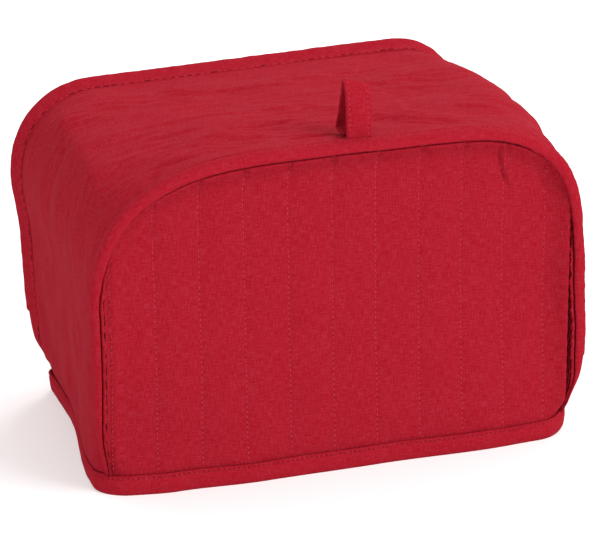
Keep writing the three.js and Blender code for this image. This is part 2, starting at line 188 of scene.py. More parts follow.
def creased(creases: Sequence[Crease], across: Array, along: Array) -> Array:
    """Height in mm that a set of creases adds to the cloth at each place."""
    total = np.zeros(np.broadcast(across, along).shape)
    for fold in creases:
        turn = math.radians(fold.turn)
        right, up = across - fold.across, along - fold.along
        run = right * math.cos(turn) + up * math.sin(turn)
        share = 2.0 * run / fold.length
        off = up * math.cos(turn) - right * math.sin(turn) - fold.bow * (1 - share**2)
        total = total + fold.height * np.exp(-((off / fold.width) ** 2) - share**4)
    return total


def finer(points: Array, steps: int) -> Array:
    """Rounds a run of points off with a smooth curve through all of them.

    Args:
        points: control points along axis 0.
        steps: how many pieces each span is cut into.

    Returns:
        The finer run of points, along axis 0.
    """
    ends = np.concatenate([2 * points[:1] - points[1:2], points, 2 * points[-1:] - points[-2:-1]])
    found = []
    for span in range(len(points) - 1):
        a, b, c, d = ends[span : span + 4]
        for step in range(steps):
            t = step / steps
            found.append(
                0.5 * (2 * b + (c - a) * t + (2 * a - 5 * b + 4 * c - d) * t**2
                       + (3 * b - a - 3 * c + d) * t**3)
            )
    found.append(points[-1])
    return np.array(found)


def distance_along(points: Array) -> Array:
    """How far along a run of points each of them is."""
    return np.concatenate([[0.0], np.cumsum(np.linalg.norm(np.diff(points, axis=0), axis=1))])


def flat_map(run: Array, around: Array) -> Array:
    """Each place's position on the flat cloth, from its two directions."""
    return np.stack(np.broadcast_arrays(run, around), axis=-1).reshape(-1, 2)


def stand(points: Array) -> Array:
    """Rounds the foot off and lets the cloth lean and sag as it stands.

    Args:
        points: places on the square-cut cover, in mm, last axis x, y, z.

    Returns:
        The places on the standing cover.
    """
    x, y, z = (points[..., axis].copy() for axis in range(3))
    end = np.sign(y - DEPTH / 2)
    side = np.sign(x)
    rounding = np.where(end < 0, FOOT_FRONT_RADIUS, FOOT_BACK_RADIUS)
    radius = rounding * (1 - ramp(z, HEM_TOP, FOOT_HEIGHT))
    past_x = np.abs(x) - (HALF_WIDTH - radius)
    past_y = np.abs(y - DEPTH / 2) - (DEPTH / 2 - radius)
    corner = (radius > 0) & (past_x > 0) & (past_y > 0)
    safe_x, safe_y = np.where(corner, past_x, 1.0), np.where(corner, past_y, 1.0)
    pull = np.maximum(safe_x, safe_y) / np.hypot(safe_x, safe_y)
    x = np.where(corner, side * (HALF_WIDTH - radius + past_x * pull), x)
    y = np.where(corner, DEPTH / 2 + end * (DEPTH / 2 - radius + past_y * pull), y)
    along = np.clip(y / DEPTH, 0, 1)
    foot = 1 - ramp(z, HEM_TOP, FRONT_FOOT_HEIGHT)
    lean = (eased(LEFT_LEAN_IN, z) * ramp(y, LEAN_STARTS, LEAN_STARTS + LEAN_LENGTH)
            * np.minimum(np.abs(x) / HALF_WIDTH, 1) ** 2)
    y = y + eased(FRONT_FOOT_SET_BACK, x) * foot * (1 - along)
    x = x + np.where(x < 0, lean, -lean * RIGHT_LEAN_SHARE)
    high = ramp(z, TOP_SAG_FROM, TOP_SAG_FROM + TOP_SAG_OVER)
    z = z - TOP_SAG_DEPTH * np.sin(math.pi * along) * high
    return np.stack([x, y, z], axis=-1)


@dataclass(frozen=True)
class ArchCorner:
    """One top corner of a panel's arch."""

    height: float
    inward: float
    down: float
    power: float


@dataclass
class Stations:
    """Places along a seam, each with its outward direction and its lean."""

    x: Array
    z: Array
    out_x: Array
    out_z: Array
    run: Array
    lean: Array
    rim: Array
    turned: Array


@dataclass(frozen=True)
class SeamLine:
    """The line where one panel meets the band."""

    y: float
    ahead: float
    left: ArchCorner
    right: ArchCorner
    leans: Stops
    right_rises: float = 0.0

    def arch(self, x: Array) -> tuple[Array, Array, Array]:
        """Height and outward direction of the arch at places across it."""
        inward, down, power = (
            np.where(x < 0, getattr(self.left, size), getattr(self.right, size))
            for size in ("inward", "down", "power"))
        across = np.clip((np.abs(x) - (HALF_WIDTH - inward)) / inward, 0, 1)
        up = (1 - across**power) ** (1 / power)
        out_x = np.where(x < 0, -1, 1) * across ** (power - 1) / inward
        out_z = up ** (power - 1) / down
        length = np.hypot(out_x, out_z)
        rise = self.right.height - self.left.height
        crown = self.left.height + rise * ramp(x, -HALF_WIDTH, HALF_WIDTH)
        return crown - down * (1 - up), out_x / length, out_z / length

    def stations(self, columns: Array, leg_rows: int, crowding: float = 1.0) -> Stations:
        """All places of the seam from the left foot over to the right foot."""
        x = columns
        for _ in range(SEAM_TRIES):
            x = np.clip(columns + BODY_INSET * self.arch(x)[1], -HALF_WIDTH, HALF_WIDTH)
        z, out_x, out_z = self.arch(x)
        left = leg_heights(z[0], leg_rows, crowding)
        right = leg_heights(z[-1], leg_rows, crowding)[::-1]
        x = np.pad(x, len(left), constant_values=(-HALF_WIDTH, HALF_WIDTH))
        out_x = np.pad(out_x, len(left), constant_values=(-1, 1))
        out_z = np.pad(out_z, len(left))
        z = np.concatenate([left, z, right])
        run = distance_along(np.stack([x, z], axis=1))
        above = z - BINDING_BOTTOM
        grown = ramp(above, 0, RIM_FULL_ABOVE_HEM)
        return Stations(
            x, z, out_x, out_z, run,
            lean=np.radians(eased(self.leans, run / run[-1])),
            rim=RIM_AT_HEM + (1 - RIM_AT_HEM) * grown - RIM_END * (1 - ramp(above, 0, 7)),
            turned=z >= BINDING_BOTTOM - 1e-6,
        )

    def beside(self, at: Stations, out: Array, ahead: Array) -> Array:
        """Points beside the seam, out in the panel's plane and ahead of it."""
        y = np.broadcast_to(self.y + ahead * self.ahead, at.x.shape)
        return np.stack([at.x + out * at.out_x, y, at.z + out * at.out_z], axis=-1)

    def above_hem(self, at: Stations, turned: Array, still: tuple[float, float]) -> Array:
        """Turned-out points above the hem, and plain ones at (out, ahead) in it."""
        return np.where(at.turned[:, None], turned, self.beside(at, *still))

    def right_rise(self, x: Array, z: Array) -> Array:
        """Share by which the panel's cloth rises beside the right leg."""
        return self.right_rises * ramp(x, 70, 132) * ramp(z, 20, 50)

    def on_rim(self, at: Stations, far: Array, side: Array, tip: float) -> Array:
        """Points on the turned-out allowance, far along it and to its side."""
        reach = far - RIM_LENGTH * (1 - at.rim) * tip
        sine, cosine = np.sin(at.lean), np.cos(at.lean)
        return self.beside(at, reach * sine + side * cosine, reach * cosine - side * sine)


def leg_heights(top: float, rows: int, crowding: float = 1.0) -> Array:
    """Heights of the rows on a straight leg, from the lower edge to the arch."""
    share = 1 - (1 - np.arange(rows) / rows) ** crowding
    above = BINDING_BOTTOM + (top - BINDING_BOTTOM) * share
    return np.concatenate([[CLOTH_BOTTOM, TUCK_TOP], above])


FRONT_SEAM = SeamLine(
    y=0.0,
    ahead=-1.0,
    left=ArchCorner(height=196.5, inward=103, down=66.5, power=2.3),
    right=ArchCorner(height=196.5, inward=82, down=64, power=2.4),
    leans=((0, 16), (0.06, 25), (0.19, 26), (0.25, -6), (0.32, -12),
           (0.4, -22), (0.5, -17), (0.62, -20), (0.75, -22),
           (0.83, -4), (0.9, 8), (1, 13)),
    right_rises=1.0,
)
BACK_SEAM = SeamLine(
    y=DEPTH,
    ahead=1.0,
    left=ArchCorner(height=190.8, inward=52, down=54, power=2.3),
    right=ArchCorner(height=196.5, inward=45, down=50, power=2.3),
    leans=((0, 26), (0.2, 26), (0.35, 28), (0.65, 28), (0.8, 20),
           (1, 14)),
)


@dataclass
class SheetMesh:
    """A closed thin sheet: two matching faces, joined round their border.

    The faces are on the square-cut cover, in mm.
    """

    outer: Array
    inner: Array
    cells: Array
    flat: Array

    def build(self, name: str, shift: Array) -> bpy.types.Object:
        """Stands the sheet up; its UV map is its flat size in metres."""
        outer, inner = (stand(face.reshape(-1, 3)) for face in (self.outer, self.inner))
        count = len(outer)
        cells = self.cells
        starts = cells.ravel()
        ends = np.roll(cells, -1, axis=1).ravel()
        is_border = ~np.isin(starts * count + ends, ends * count + starts)
        a, b = starts[is_border], ends[is_border]
        border = np.stack([b, a, a + count, b + count], axis=1)
        faces = np.concatenate([cells, cells[:, ::-1] + count, border])
        points = np.concatenate([outer, inner]) + shift
        return solid_object(name, points, faces.tolist(), np.tile(self.flat, (2, 1)))


def add_object(name: str, data: bpy.types.ID) -> bpy.types.Object:
    """Makes an object and links it to the scene."""
    made = bpy.data.objects.new(name, data)
    bpy.context.scene.collection.objects.link(made)
    return made


def solid_object(
    name: str, points: Array, faces: list[list[int]], flat: Array
) -> bpy.types.Object:
    """Makes a closed mesh object whose faces point outward.

    Args:
        name: the object's name.
        points: its places in mm.
        faces: its faces as lists of places.
        flat: each place's position on the flat cloth, in mm.

    Returns:
        The new object, linked to the scene.
    """
    volume = 0.0
    for face in faces:
        a = points[face[0]]
        for one, two in zip(face[1:-1], face[2:]):
            volume += float(np.dot(a, np.cross(points[one], points[two])))
    if volume < 0:
        faces = [face[::-1] for face in faces]
    mesh = bpy.data.meshes.new(name)
    mesh.from_pydata((points * MM).tolist(), [], faces)
    layer = mesh.uv_layers.new(name="flat_cloth")
    corners = np.empty(len(mesh.loops), dtype=np.int64)
    mesh.loops.foreach_get("vertex_index", corners)
    layer.data.foreach_set("uv", (flat[corners] * MM).astype(np.float32).ravel())
    mesh.shade_smooth()
    mesh.update()
    return add_object(name, mesh)


def grid_cells(index: Array) -> Array:
    """Cells of a grid of place numbers, four places each."""
    return np.stack(
        [index[:-1, :-1], index[:-1, 1:], index[1:, 1:], index[1:, :-1]], axis=-1
    ).reshape(-1, 4)


def srgb(code: str) -> tuple[float, float, float, float]:
    """Turns an sRGB hex colour to linear numbers."""
    parts = [int(code[at : at + 2], 16) / 255 for at in (1, 3, 5)]
    linear = [p / 12.92 if p <= 0.04045 else ((p + 0.055) / 1.055) ** 2.4 for p in parts]
    return (*linear, 1.0)


def add_node(tree: bpy.types.NodeTree, kind: str, links: dict[str, Any] | None = None,
             **settings: Any) -> bpy.types.Node:
    """Adds a node with its settings, and its inputs' values or links.

    Args:
        tree: the tree that gets the node.
        kind: the node's type.
        links: input name to a value, or to the socket that feeds it.
        settings: the node's own properties.

    Returns:
        The new node.
    """
    made = tree.nodes.new(kind)
    for name, value in settings.items():
        setattr(made, name, value)
    for name, value in (links or {}).items():
        socket = made.inputs[name]
        if isinstance(value, bpy.types.NodeSocket):
            tree.links.new(value, socket)
        else:
            socket.default_value = value
    return made


def node_material(name: str) -> tuple[bpy.types.Material, partial]:
    """Makes an empty material, and the call that adds nodes to it."""
    made = bpy.data.materials.new(name)
    made.use_nodes = True
    made.node_tree.nodes.clear()
    return made, partial(add_node, made.node_tree)


@dataclass(frozen=True)
class PlainWeaveCotton:
    """Dyed cotton in a plain weave: matt, with a slight bloom at a glance.

    The real threads lie 0.35 mm apart; they are drawn at thread_mm so that they
    show, with slubs that run along both directions of the cloth.
    """

    name: str
    colour: str
    # deep and light end the colour ramp: uneven dye, and painted shade and highlight on the
    # slubs.
    deep: str
    light: str
    thread_mm: float = 0.6
    slub_mm: float = 0.6
    slub_stretch: float = 9.0
    patch_mm: float = 22.0
    patch_share: float = 0.14
    bump_mm: float = 0.12
    roughness: float = 0.9
    sheen: float = 0.012
    specular: float = 0.02

    WAVE_TURNS = 20.0
    SHADES = (0.72, 1.42)

    def material(self) -> bpy.types.Material:
        """Builds the finish's nodes: slubs, soft patches and threads both ways."""
        made, node = node_material(self.name)
        place = node("ShaderNodeUVMap", uv_map="flat_cloth").outputs["UV"]
        slubs, threads = [], []
        for direction, across, along in (("X", 1.0, self.slub_stretch),
                                         ("Y", self.slub_stretch, 1.0)):
            scale = node("ShaderNodeMapping", {
                "Vector": place, "Scale": (1 / (self.slub_mm * MM * across),
                                           1 / (self.slub_mm * MM * along), 1)})
            slubs.append(node(
                "ShaderNodeTexNoise",
                {"Vector": scale.outputs["Vector"], "Scale": 1.0, "Detail": 2.0},
                noise_dimensions="2D").outputs["Fac"])
            threads.append(node(
                "ShaderNodeTexWave",
                {"Vector": place, "Scale": math.pi / (self.WAVE_TURNS * self.thread_mm * MM),
                 "Distortion": 1.2, "Detail": 1.0, "Detail Scale": 0.6},
                bands_direction=direction).outputs["Fac"])
        slub = node("ShaderNodeMath", {0: slubs[0], 1: slubs[1]}, operation="ADD")
        patches = node(
            "ShaderNodeTexNoise",
            {"Vector": place, "Scale": 1 / (self.patch_mm * MM), "Detail": 3.0},
            noise_dimensions="2D")
        both = node(
            "ShaderNodeMath",
            {0: patches.outputs["Fac"], 1: self.patch_share, 2: slub.outputs["Value"]},
            operation="MULTIPLY_ADD")
        low, high = self.SHADES
        shade = node("ShaderNodeMapRange",
                     {"Value": both.outputs["Value"], "From Min": low, "From Max": high})
        # Darker where the slubs lie low, lighter and pinker where they stand high, as the bump
        # does: partly uneven dye, partly painted shade and highlight.
        colour = node("ShaderNodeValToRGB", {"Fac": shade.outputs["Result"]})
        ends = colour.color_ramp.elements
        ends[0].color, ends[1].color = srgb(self.deep), srgb(self.light)
        ends.new(0.5).color = srgb(self.colour)
        weave = node("ShaderNodeMath", {0: threads[0], 1: threads[1]}, operation="MULTIPLY")
        height = node(
            "ShaderNodeMath", {0: slub.outputs["Value"], 1: 0.8, 2: weave.outputs["Value"]},
            operation="MULTIPLY_ADD")
        bump = node("ShaderNodeBump", {"Height": height.outputs["Value"], "Strength": 0.5,
                                       "Distance": self.bump_mm * MM})
        cloth = node("ShaderNodeBsdfPrincipled", {
            "Base Color": colour.outputs["Color"], "Normal": bump.outputs["Normal"],
            "Roughness": self.roughness, "Sheen Weight": self.sheen,
            "Sheen Roughness": 0.45, "Sheen Tint": srgb("#f2b2ca"), "IOR": 1.45,
            "Specular IOR Level": self.specular})
        node("ShaderNodeOutputMaterial", {"Surface": cloth.outputs["BSDF"]})
        return made


@dataclass(frozen=True)
class SpunThread:
    """Spun polyester sewing thread: twisted, a little brighter than the cloth."""

    name: str
    colour: str
    roughness: float = 0.6
    twist_mm: float = 0.5
    bump_mm: float = 0.05
    # Share of the colour left in the twist's hollows: painted shade.
    valley_shade: float = 0.7

    def material(self) -> bpy.types.Material:
        """Builds the finish's nodes."""
        made, node = node_material(self.name)
        place = node("ShaderNodeTexCoord").outputs["Object"]
        grain = node("ShaderNodeTexNoise",
                     {"Vector": place, "Scale": 1 / (self.twist_mm * MM), "Detail": 1.0})
        bump = node("ShaderNodeBump", {"Height": grain.outputs["Fac"], "Strength": 0.4,
                                       "Distance": self.bump_mm * MM})
        # The twist's low spots, where the bump dips, are darker: painted shade.
        tone = node("ShaderNodeValToRGB", {"Fac": grain.outputs["Fac"]})
        ends = tone.color_ramp.elements
        ends[0].color = (*(self.valley_shade * part for part in srgb(self.colour)[:3]), 1.0)
        ends[1].color = srgb(self.colour)
        ends[0].position, ends[1].position = 0.3, 0.6
        thread = node("ShaderNodeBsdfPrincipled", {
            "Base Color": tone.outputs["Color"], "Normal": bump.outputs["Normal"],
            "Roughness": self.roughness, "Sheen Weight": 0.02, "IOR": 1.5,
            "Specular IOR Level": 0.06})
        node("ShaderNodeOutputMaterial", {"Surface": thread.outputs["BSDF"]})
        return made


@dataclass(frozen=True)
class StitchSize:
    """Sizes of one row of machine stitches, in mm."""

    pitch: float
    length: float
    width: float
    start: float = 0.0
    uneven: float = 0.12


QUILTING = StitchSize(pitch=3.1, length=1.9, width=0.42)
# Sizes of the dark marks in the needle dips between stitches: painted shade.
QUILTING_DIP_SHADE = StitchSize(pitch=3.1, length=0.8, width=0.36, start=1.55, uneven=0.35)
BAND_QUILTING = StitchSize(pitch=3.1, length=1.3, width=0.15)
BAND_DIP_SHADE = StitchSize(pitch=3.1, length=0.5, width=0.2, start=1.55, uneven=0.3)
TAPE_STITCH = StitchSize(pitch=2.9, length=1.8, width=0.32)
TAPE_DIP_SHADE = StitchSize(pitch=2.9, length=0.8, width=0.4, start=1.45, uneven=0.35)
BACK_TAPE_DIP_SHADE = StitchSize(pitch=5.3, length=3.4, width=0.75, start=1.45, uneven=0.5)
# Dark rows that paint the shade deep in the seams.
SEAM_PAINTED_SHADE = StitchSize(pitch=1.8, length=2.1, width=0.95, uneven=0.45)


@dataclass
class Sewing:
    """Lays machine stitches, or dark marks of painted shade, along paths with one Geometry Nodes
    tree.
    """

    thread: bpy.types.Material
    # Dark finish of the marks that paint the shade in the dips and deep seams.
    hole: bpy.types.Material
    tree: bpy.types.NodeTree = field(init=False)

    INPUTS = ("Pitch", "Length", "Width", "Start", "Uneven")
    LONGEST_PATH = 10.0

    def __post_init__(self) -> None:
        """Builds the tree: edges to curve, points along it, a stitch on each."""
        tree = bpy.data.node_groups.new("machine_stitches", "GeometryNodeTree")
        node = partial(add_node, tree)
        for name, way, kind in (
            ("Path", "INPUT", "Geometry"), *((name, "INPUT", "Float") for name in self.INPUTS),
            ("Seed", "INPUT", "Int"), ("Finish", "INPUT", "Material"),
            ("Stitches", "OUTPUT", "Geometry"),
        ):
            tree.interface.new_socket(name, in_out=way, socket_type="NodeSocket" + kind)
        given = node("NodeGroupInput").outputs
        line = node("GeometryNodeMeshToCurve", {"Mesh": given["Path"]})
        cut = node(
            "GeometryNodeTrimCurve",
            {"Curve": line.outputs["Curve"], 4: given["Start"], 5: self.LONGEST_PATH},
            mode="LENGTH")
        spots = node("GeometryNodeCurveToPoints",
                     {"Curve": cut.outputs["Curve"], "Length": given["Pitch"]}, mode="LENGTH")
        stitch = node("GeometryNodeMeshUVSphere", {"Segments": 6, "Rings": 4, "Radius": 0.5})
        soft = node("GeometryNodeSetShadeSmooth", {"Geometry": stitch.outputs["Mesh"]})
        low, high = (
            node("ShaderNodeMath", {0: 1.0, 1: given["Uneven"]}, operation=way).outputs["Value"]
            for way in ("SUBTRACT", "ADD"))
        chance = node("FunctionNodeRandomValue", {2: low, 3: high, "Seed": given["Seed"]},
                      data_type="FLOAT")
        size = node("ShaderNodeCombineXYZ",
                    {"X": given["Width"], "Y": given["Width"], "Z": given["Length"]})
        varied = node("ShaderNodeVectorMath",
                      {0: size.outputs["Vector"], "Scale": chance.outputs[1]},
                      operation="SCALE")
        laid = node("GeometryNodeInstanceOnPoints", {
            "Points": spots.outputs["Points"], "Instance": soft.outputs["Geometry"],
            "Rotation": spots.outputs["Rotation"], "Scale": varied.outputs["Vector"]})
        real = node("GeometryNodeRealizeInstances", {"Geometry": laid.outputs["Instances"]})
        dressed = node("GeometryNodeSetMaterial", {
            "Geometry": real.outputs["Geometry"], "Material": given["Finish"]})
        node("NodeGroupOutput", {"Stitches": dressed.outputs["Geometry"]})
        self.tree = tree

    def row(self, name: str, paths: Sequence[Array], size: StitchSize, seed: int,
            is_dip_shade: bool = False) -> bpy.types.Object:
        """Sews stitches, or dark marks of painted shade in the dips between them, along paths in
        mm.

        Args:
            name: the new object's name.
            paths: each an array of places in mm, in the part's frame.
            size: the stitches' sizes.
            seed: fixes the stitches' unevenness.
            is_dip_shade: True for dark marks of painted shade where the thread goes in.

        Returns:
            A plain mesh object.
        """
        points = np.concatenate(paths)
        starts = np.cumsum([0] + [len(path) for path in paths])
        edges = [
            (at, at + 1)
            for first, last in zip(starts[:-1], starts[1:])
            for at in range(first, last - 1)
        ]
        host_mesh = bpy.data.meshes.new(name + "_path")
        host_mesh.from_pydata((points * MM).tolist(), edges, [])
        host = add_object(name + "_path", host_mesh)
        nodes = host.modifiers.new("stitches", "NODES")
        nodes.node_group = self.tree
        lengths = (size.pitch * MM, size.length * MM, size.width * MM, size.start * MM)
        given = dict(zip(self.INPUTS, (*lengths, size.uneven)))
        given.update(Seed=seed, Finish=self.hole if is_dip_shade else self.thread)
        for item in self.tree.interface.items_tree:
            if item.name in given:
                nodes[item.identifier] = given[item.name]
        evaluated = host.evaluated_get(bpy.context.evaluated_depsgraph_get())
        mesh = bpy.data.meshes.new_from_object(evaluated)
        host.modifiers.remove(nodes)
        bpy.data.objects.remove(host)
        mesh.name = name
        return add_object(name, mesh)


def puff(lines: Sequence[float], at: Array, power: float) -> Array:
    """How far the cloth puffs up between its stitched lines, 0 to 1."""
    edges = np.array(lines)
    channel = np.clip(np.searchsorted(edges, at) - 1, 0, len(edges) - 2)
    share = np.clip((at - edges[channel]) / (edges[channel + 1] - edges[channel]), 0, 1)
    return np.sin(math.pi * share) ** power


def from_quilting(x: Array) -> Array:
    """Distance to the nearest quilting line of a panel, in mm."""
    return np.min(np.abs(x[..., None] - np.array(QUILT_LINES)), axis=-1)


@dataclass(frozen=True)
class ClothThickness:
    """Half thicknesses of the quilted cloth in mm."""

    stitched: float = 0.6
    crown: float = 1.55
    seam: float = 0.85
    hem: float = 0.7
    puff_power: float = 0.65


@dataclass
class QuiltedPanel:
    """An arched panel of quilted cloth with its rim turned out at the seam."""

    name: str
    seam: SeamLine
    creases: tuple[Crease, ...]
    seed: int
    leg_rows: int = 108
    beside_steps: int = 22
    between_steps: int = 24
    crowding: float = 2.2
    row_crowding: float = 1.6
    rim_roll: float = 3.4
    arch_roll: float = 6.4
    roll_reach: float = 6.5
    tuck_reach: float = 1.9
    lip: tuple[float, float] = (9.7, 2.0)
    below_lip: float = 1.3
    thickness: ClothThickness = ClothThickness()

    RIM_FACE = ((5.2, -4.3, 0.3, -2.6), (4.7, -2.9, 0.4, -2.0), (5.6, -1.3, 0.5, -1.3),
                (6.6, -1.2, 0.8, -1.2), (8.4, -1.2, 1.0, -1.2))
    RIM_INSIDE = ((2.6, -0.8, 0.0, -0.8), (3.4, -0.4, 0.2, -0.4), (4.2, -0.2, 0.4, -0.2),
                  (6.0, -0.2, 0.7, -0.2), (8.4, -0.2, 1.0, -0.2))
    FLAT_FACE = ((-2.6, 0.7), (-1.8, 0.7), (-1.1, 0.7), (-0.4, 0.7), (0.2, 0.7))
    FLAT_INSIDE = ((-2.1, -0.7), (-1.6, -0.7), (-1.2, -0.7), (-0.85, -0.35), (-0.2, 0.3))
    RIM_STEPS = 3
    ABOVE_HEM = (13, 24)
    BROAD = Swell(height=0.45, size=46)
    FINE = Swell(height=0.15, size=10)
    GATHERS = Puckers(height=0.26, length=7.3, sway=2.2, sway_size=24)
    ARCH_GATHERS = Puckers(height=0.14, length=8.1, sway=2.0, sway_size=24)
    DRAWN_IN = Puckers(height=0.09, length=6.2, sway=3.0, sway_size=30)
    NOTCH_DEPTH = 1.5
    THREAD_LIFT = 0.05
    RISE_OUT = 0.8
    RISE_BACK = 0.7
    RIM_FRONT = -4.0
    LEG_STITCHES = -5.3
    # Where the dark rows of painted shade lie beside the seam.
    HIDDEN_STITCHES_AHEAD = 6.2
    RIDGE_STITCHES = (6.9, -4.5)
    UPRIGHT_DROOP = 0.2
    HIDDEN_DROOP = 0.3
    FOOT_OF_LEG = BINDING_BOTTOM + 4

    def columns(self) -> Array:
        """Places across the panel: its quilting lines and steps between them."""
        share = (np.arange(self.beside_steps) / self.beside_steps) ** self.crowding
        first, last = QUILT_LINES[0], QUILT_LINES[-1]
        between = np.linspace(first, last, (len(QUILT_LINES) - 1) * self.between_steps + 1)
        left, right = -BORDER + (first + BORDER) * share, BORDER - (BORDER - last) * share
        return np.concatenate([left, between, right[::-1]])

    def crown_place(self, lean: Array) -> tuple[Array, Array]:
        """Where the cloth's roll crowns inside the border, and how far it droops.

        Args:
            lean: the allowance's lean at each column, in radians.

        Returns:
            The crown's distance from the border in mm, and 0 to 1 for a tape that
            stands straight to one that droops over the cloth.
        """
        far, thick = self.lip
        edge = thick * np.cos(lean) - far * np.sin(lean)
        droop = ramp(-np.degrees(lean), 2, 13)
        return np.maximum(edge + self.below_lip - BODY_INSET, 0) * droop, droop

    def roll_height(self, raised: Array) -> Array:
        """Height of the cloth's roll beside the seam, for a share of its rise."""
        return self.rim_roll + (self.arch_roll - self.rim_roll) * raised

    def folds(self, x: Array, z: Array, top: Array, lean: Array) -> Array:
        """How far the whole cloth stands out at each place, in mm."""
        beside, below = BORDER - np.abs(x), top - z
        crown, droop = self.crown_place(lean)
        off = np.minimum(beside, below) - crown
        reach = np.where(off < 0, self.tuck_reach, self.roll_reach)
        roll = self.roll_height(np.maximum(droop, self.seam.right_rise(x, z)))
        roll = roll * np.exp(-((np.abs(off) / reach) ** 1.5)) * ramp(z, *self.ABOVE_HEM)
        swell = self.BROAD.at(x, z, self.seed) + self.FINE.at(x, z * 0.7, self.seed + 1)
        free = ramp(beside, 0, 9) * ramp(below, 0, 9) * ramp(z, *self.ABOVE_HEM)
        gathers = bell(beside - 4, 5) * self.GATHERS.at(z, x, z, self.seed + 2) \
            * ramp(below, 0, 6) * ramp(z, 13, 20)
        across = bell(below - 4, 5) * self.ARCH_GATHERS.at(x, x, z, self.seed + 3) \
            * ramp(beside, 2, 9)
        notch = self.NOTCH_DEPTH * bell(from_quilting(x), 1.3) * bell(below - 4.5, 4)
        hand = creased(self.creases, x, z) * ramp(beside, 0, 3) * ramp(below, 0, 2)
        return roll - notch + free * swell + gathers + across + hand

    def half_thickness(self, x: Array, z: Array, top: Array) -> Array:
        """Half of the quilted cloth's thickness at each place."""
        size = self.thickness
        raised = puff((-BORDER, *QUILT_LINES, BORDER), x, size.puff_power)
        drawn = self.DRAWN_IN.at(z, x, z, self.seed + 4) * bell(from_quilting(x) - 2.2, 1.6)
        half = size.stitched + (size.crown - size.stitched) * raised + drawn
        border = ramp(BORDER - np.abs(x), 0, 2.5) * ramp(top - z, 0, 2.5) * ramp(z, 12.9, 17)
        return size.seam + (half - size.seam) * border

    def build(self, shift: Array) -> Sewn:
        """Makes the panel.

        Args:
            shift: moves the cover so that it stands over the origin.

        Returns:
            The panel's object and the paths of its quilting lines.
        """
        seam = self.seam
        columns = self.columns()
        at = seam.stations(columns, self.leg_rows, self.row_crowding)
        leg = self.leg_rows + 2
        middle = slice(leg, leg + len(columns))
        top = at.z[middle] - BODY_INSET * at.out_z[middle]
        rows = [leg_heights(height, self.leg_rows, self.row_crowding) for height in top]
        z = np.concatenate([np.stack(rows, axis=1), top[None]])
        x, ceiling = np.broadcast_to(columns, z.shape), np.broadcast_to(top, z.shape)
        half = self.half_thickness(x, z, ceiling)
        half[:2] = self.thickness.hem
        folds = self.folds(x, z, ceiling, at.lean[middle])
        sides = [np.stack([x, seam.y + (folds + way * half) * seam.ahead, z], axis=-1)
                 for way in (1, -1)]
        body = np.arange(z.size).reshape(z.shape)
        border = np.concatenate([body[:-1, 0], body[-1], body[:-1, -1][::-1]])
        tables = ((self.RIM_FACE, self.FLAT_FACE), (self.RIM_INSIDE, self.FLAT_INSIDE))
        rims = [self.rim(at, side.reshape(-1, 3)[border], *pair)
                for side, pair in zip(sides, tables)]
        rings = len(rims[0])
        ring_numbers = body.size + np.arange(rings * len(border)).reshape(rings, -1)
        cells = np.concatenate([
            grid_cells(body), grid_cells(np.concatenate([border[None], ring_numbers]))])
        reach = RIM_LENGTH * (1 + np.arange(rings))[:, None] / rings
        flat = np.concatenate([
            flat_map(x, z), flat_map(at.x + reach * at.out_x, at.z + reach * at.out_z)])
        faces = [np.concatenate([side.reshape(-1, 3), rim.reshape(-1, 3)])
                 for side, rim in zip(sides, rims)]
        made = SheetMesh(*faces, cells, flat).build(self.name, shift)
        lift = np.array([0, self.THREAD_LIFT * seam.ahead, 0])
        paths = [stand(sides[0][3:, int(np.argmin(np.abs(columns - line)))] + lift) + shift
                 for line in QUILT_LINES]
        edges = self.edge_paths(at, shift)
        return made, paths + (edges[:1] if seam is FRONT_SEAM else edges)

    def rim(self, at: Stations, start: Array, rim: Sequence, flat: Sequence) -> Array:
        """Rounds the rim off from the body's border to the allowance's edge."""
        rings = [start]
        droop = self.crown_place(at.lean)[1]
        rise = self.seam.right_rise(at.x, at.z) * (1 - droop)
        for (far, side, tip, drooped), still in zip(rim, flat):
            near = rise * (side < self.RIM_FRONT)
            side = side + (drooped - side) * droop - self.RISE_BACK * near
            turned = self.seam.on_rim(at, far + self.RISE_OUT * near, side, tip)
            rings.append(self.seam.above_hem(at, turned, still))
        return finer(np.array(rings), self.RIM_STEPS)[1:]

    def edge_paths(self, at: Stations, shift: Array) -> list[Array]:
        """Paths of the seam's own stitches beside the tape, left leg then right."""
        height = self.roll_height(self.seam.right_rise(at.x, at.z))
        path = stand(self.seam.beside(at, self.LEG_STITCHES, 1.15 + height * 0.9)) + shift
        upright = (at.z > self.FOOT_OF_LEG) \
            & (self.crown_place(at.lean)[1] < self.UPRIGHT_DROOP)
        return [path[upright & (at.x < 0)], path[upright & (at.x > 0)]]

    def shaded_paths(self, shift: Array) -> list[Array]:
        """Paths of the dark rows that paint shade under the tape and along both legs."""
        at = self.seam.stations(self.columns(), self.leg_rows, self.row_crowding)
        far, thick = self.lip
        lip = far * np.sin(at.lean) - thick * np.cos(at.lean)
        level = 0 * lip
        path = stand(
            self.seam.beside(at, lip - 0.25, self.HIDDEN_STITCHES_AHEAD + level)) + shift
        droop = self.crown_place(at.lean)[1]
        far, side = self.RIDGE_STITCHES
        ridge = stand(self.seam.on_rim(at, far + level, side + level, 1.0)) + shift
        left_leg = (at.z > self.FOOT_OF_LEG) & (droop < self.UPRIGHT_DROOP) & (at.x < 0)
        under_tape = droop > self.HIDDEN_DROOP
        return [path[under_tape], self.edge_paths(at, shift)[1], ridge[left_leg]]


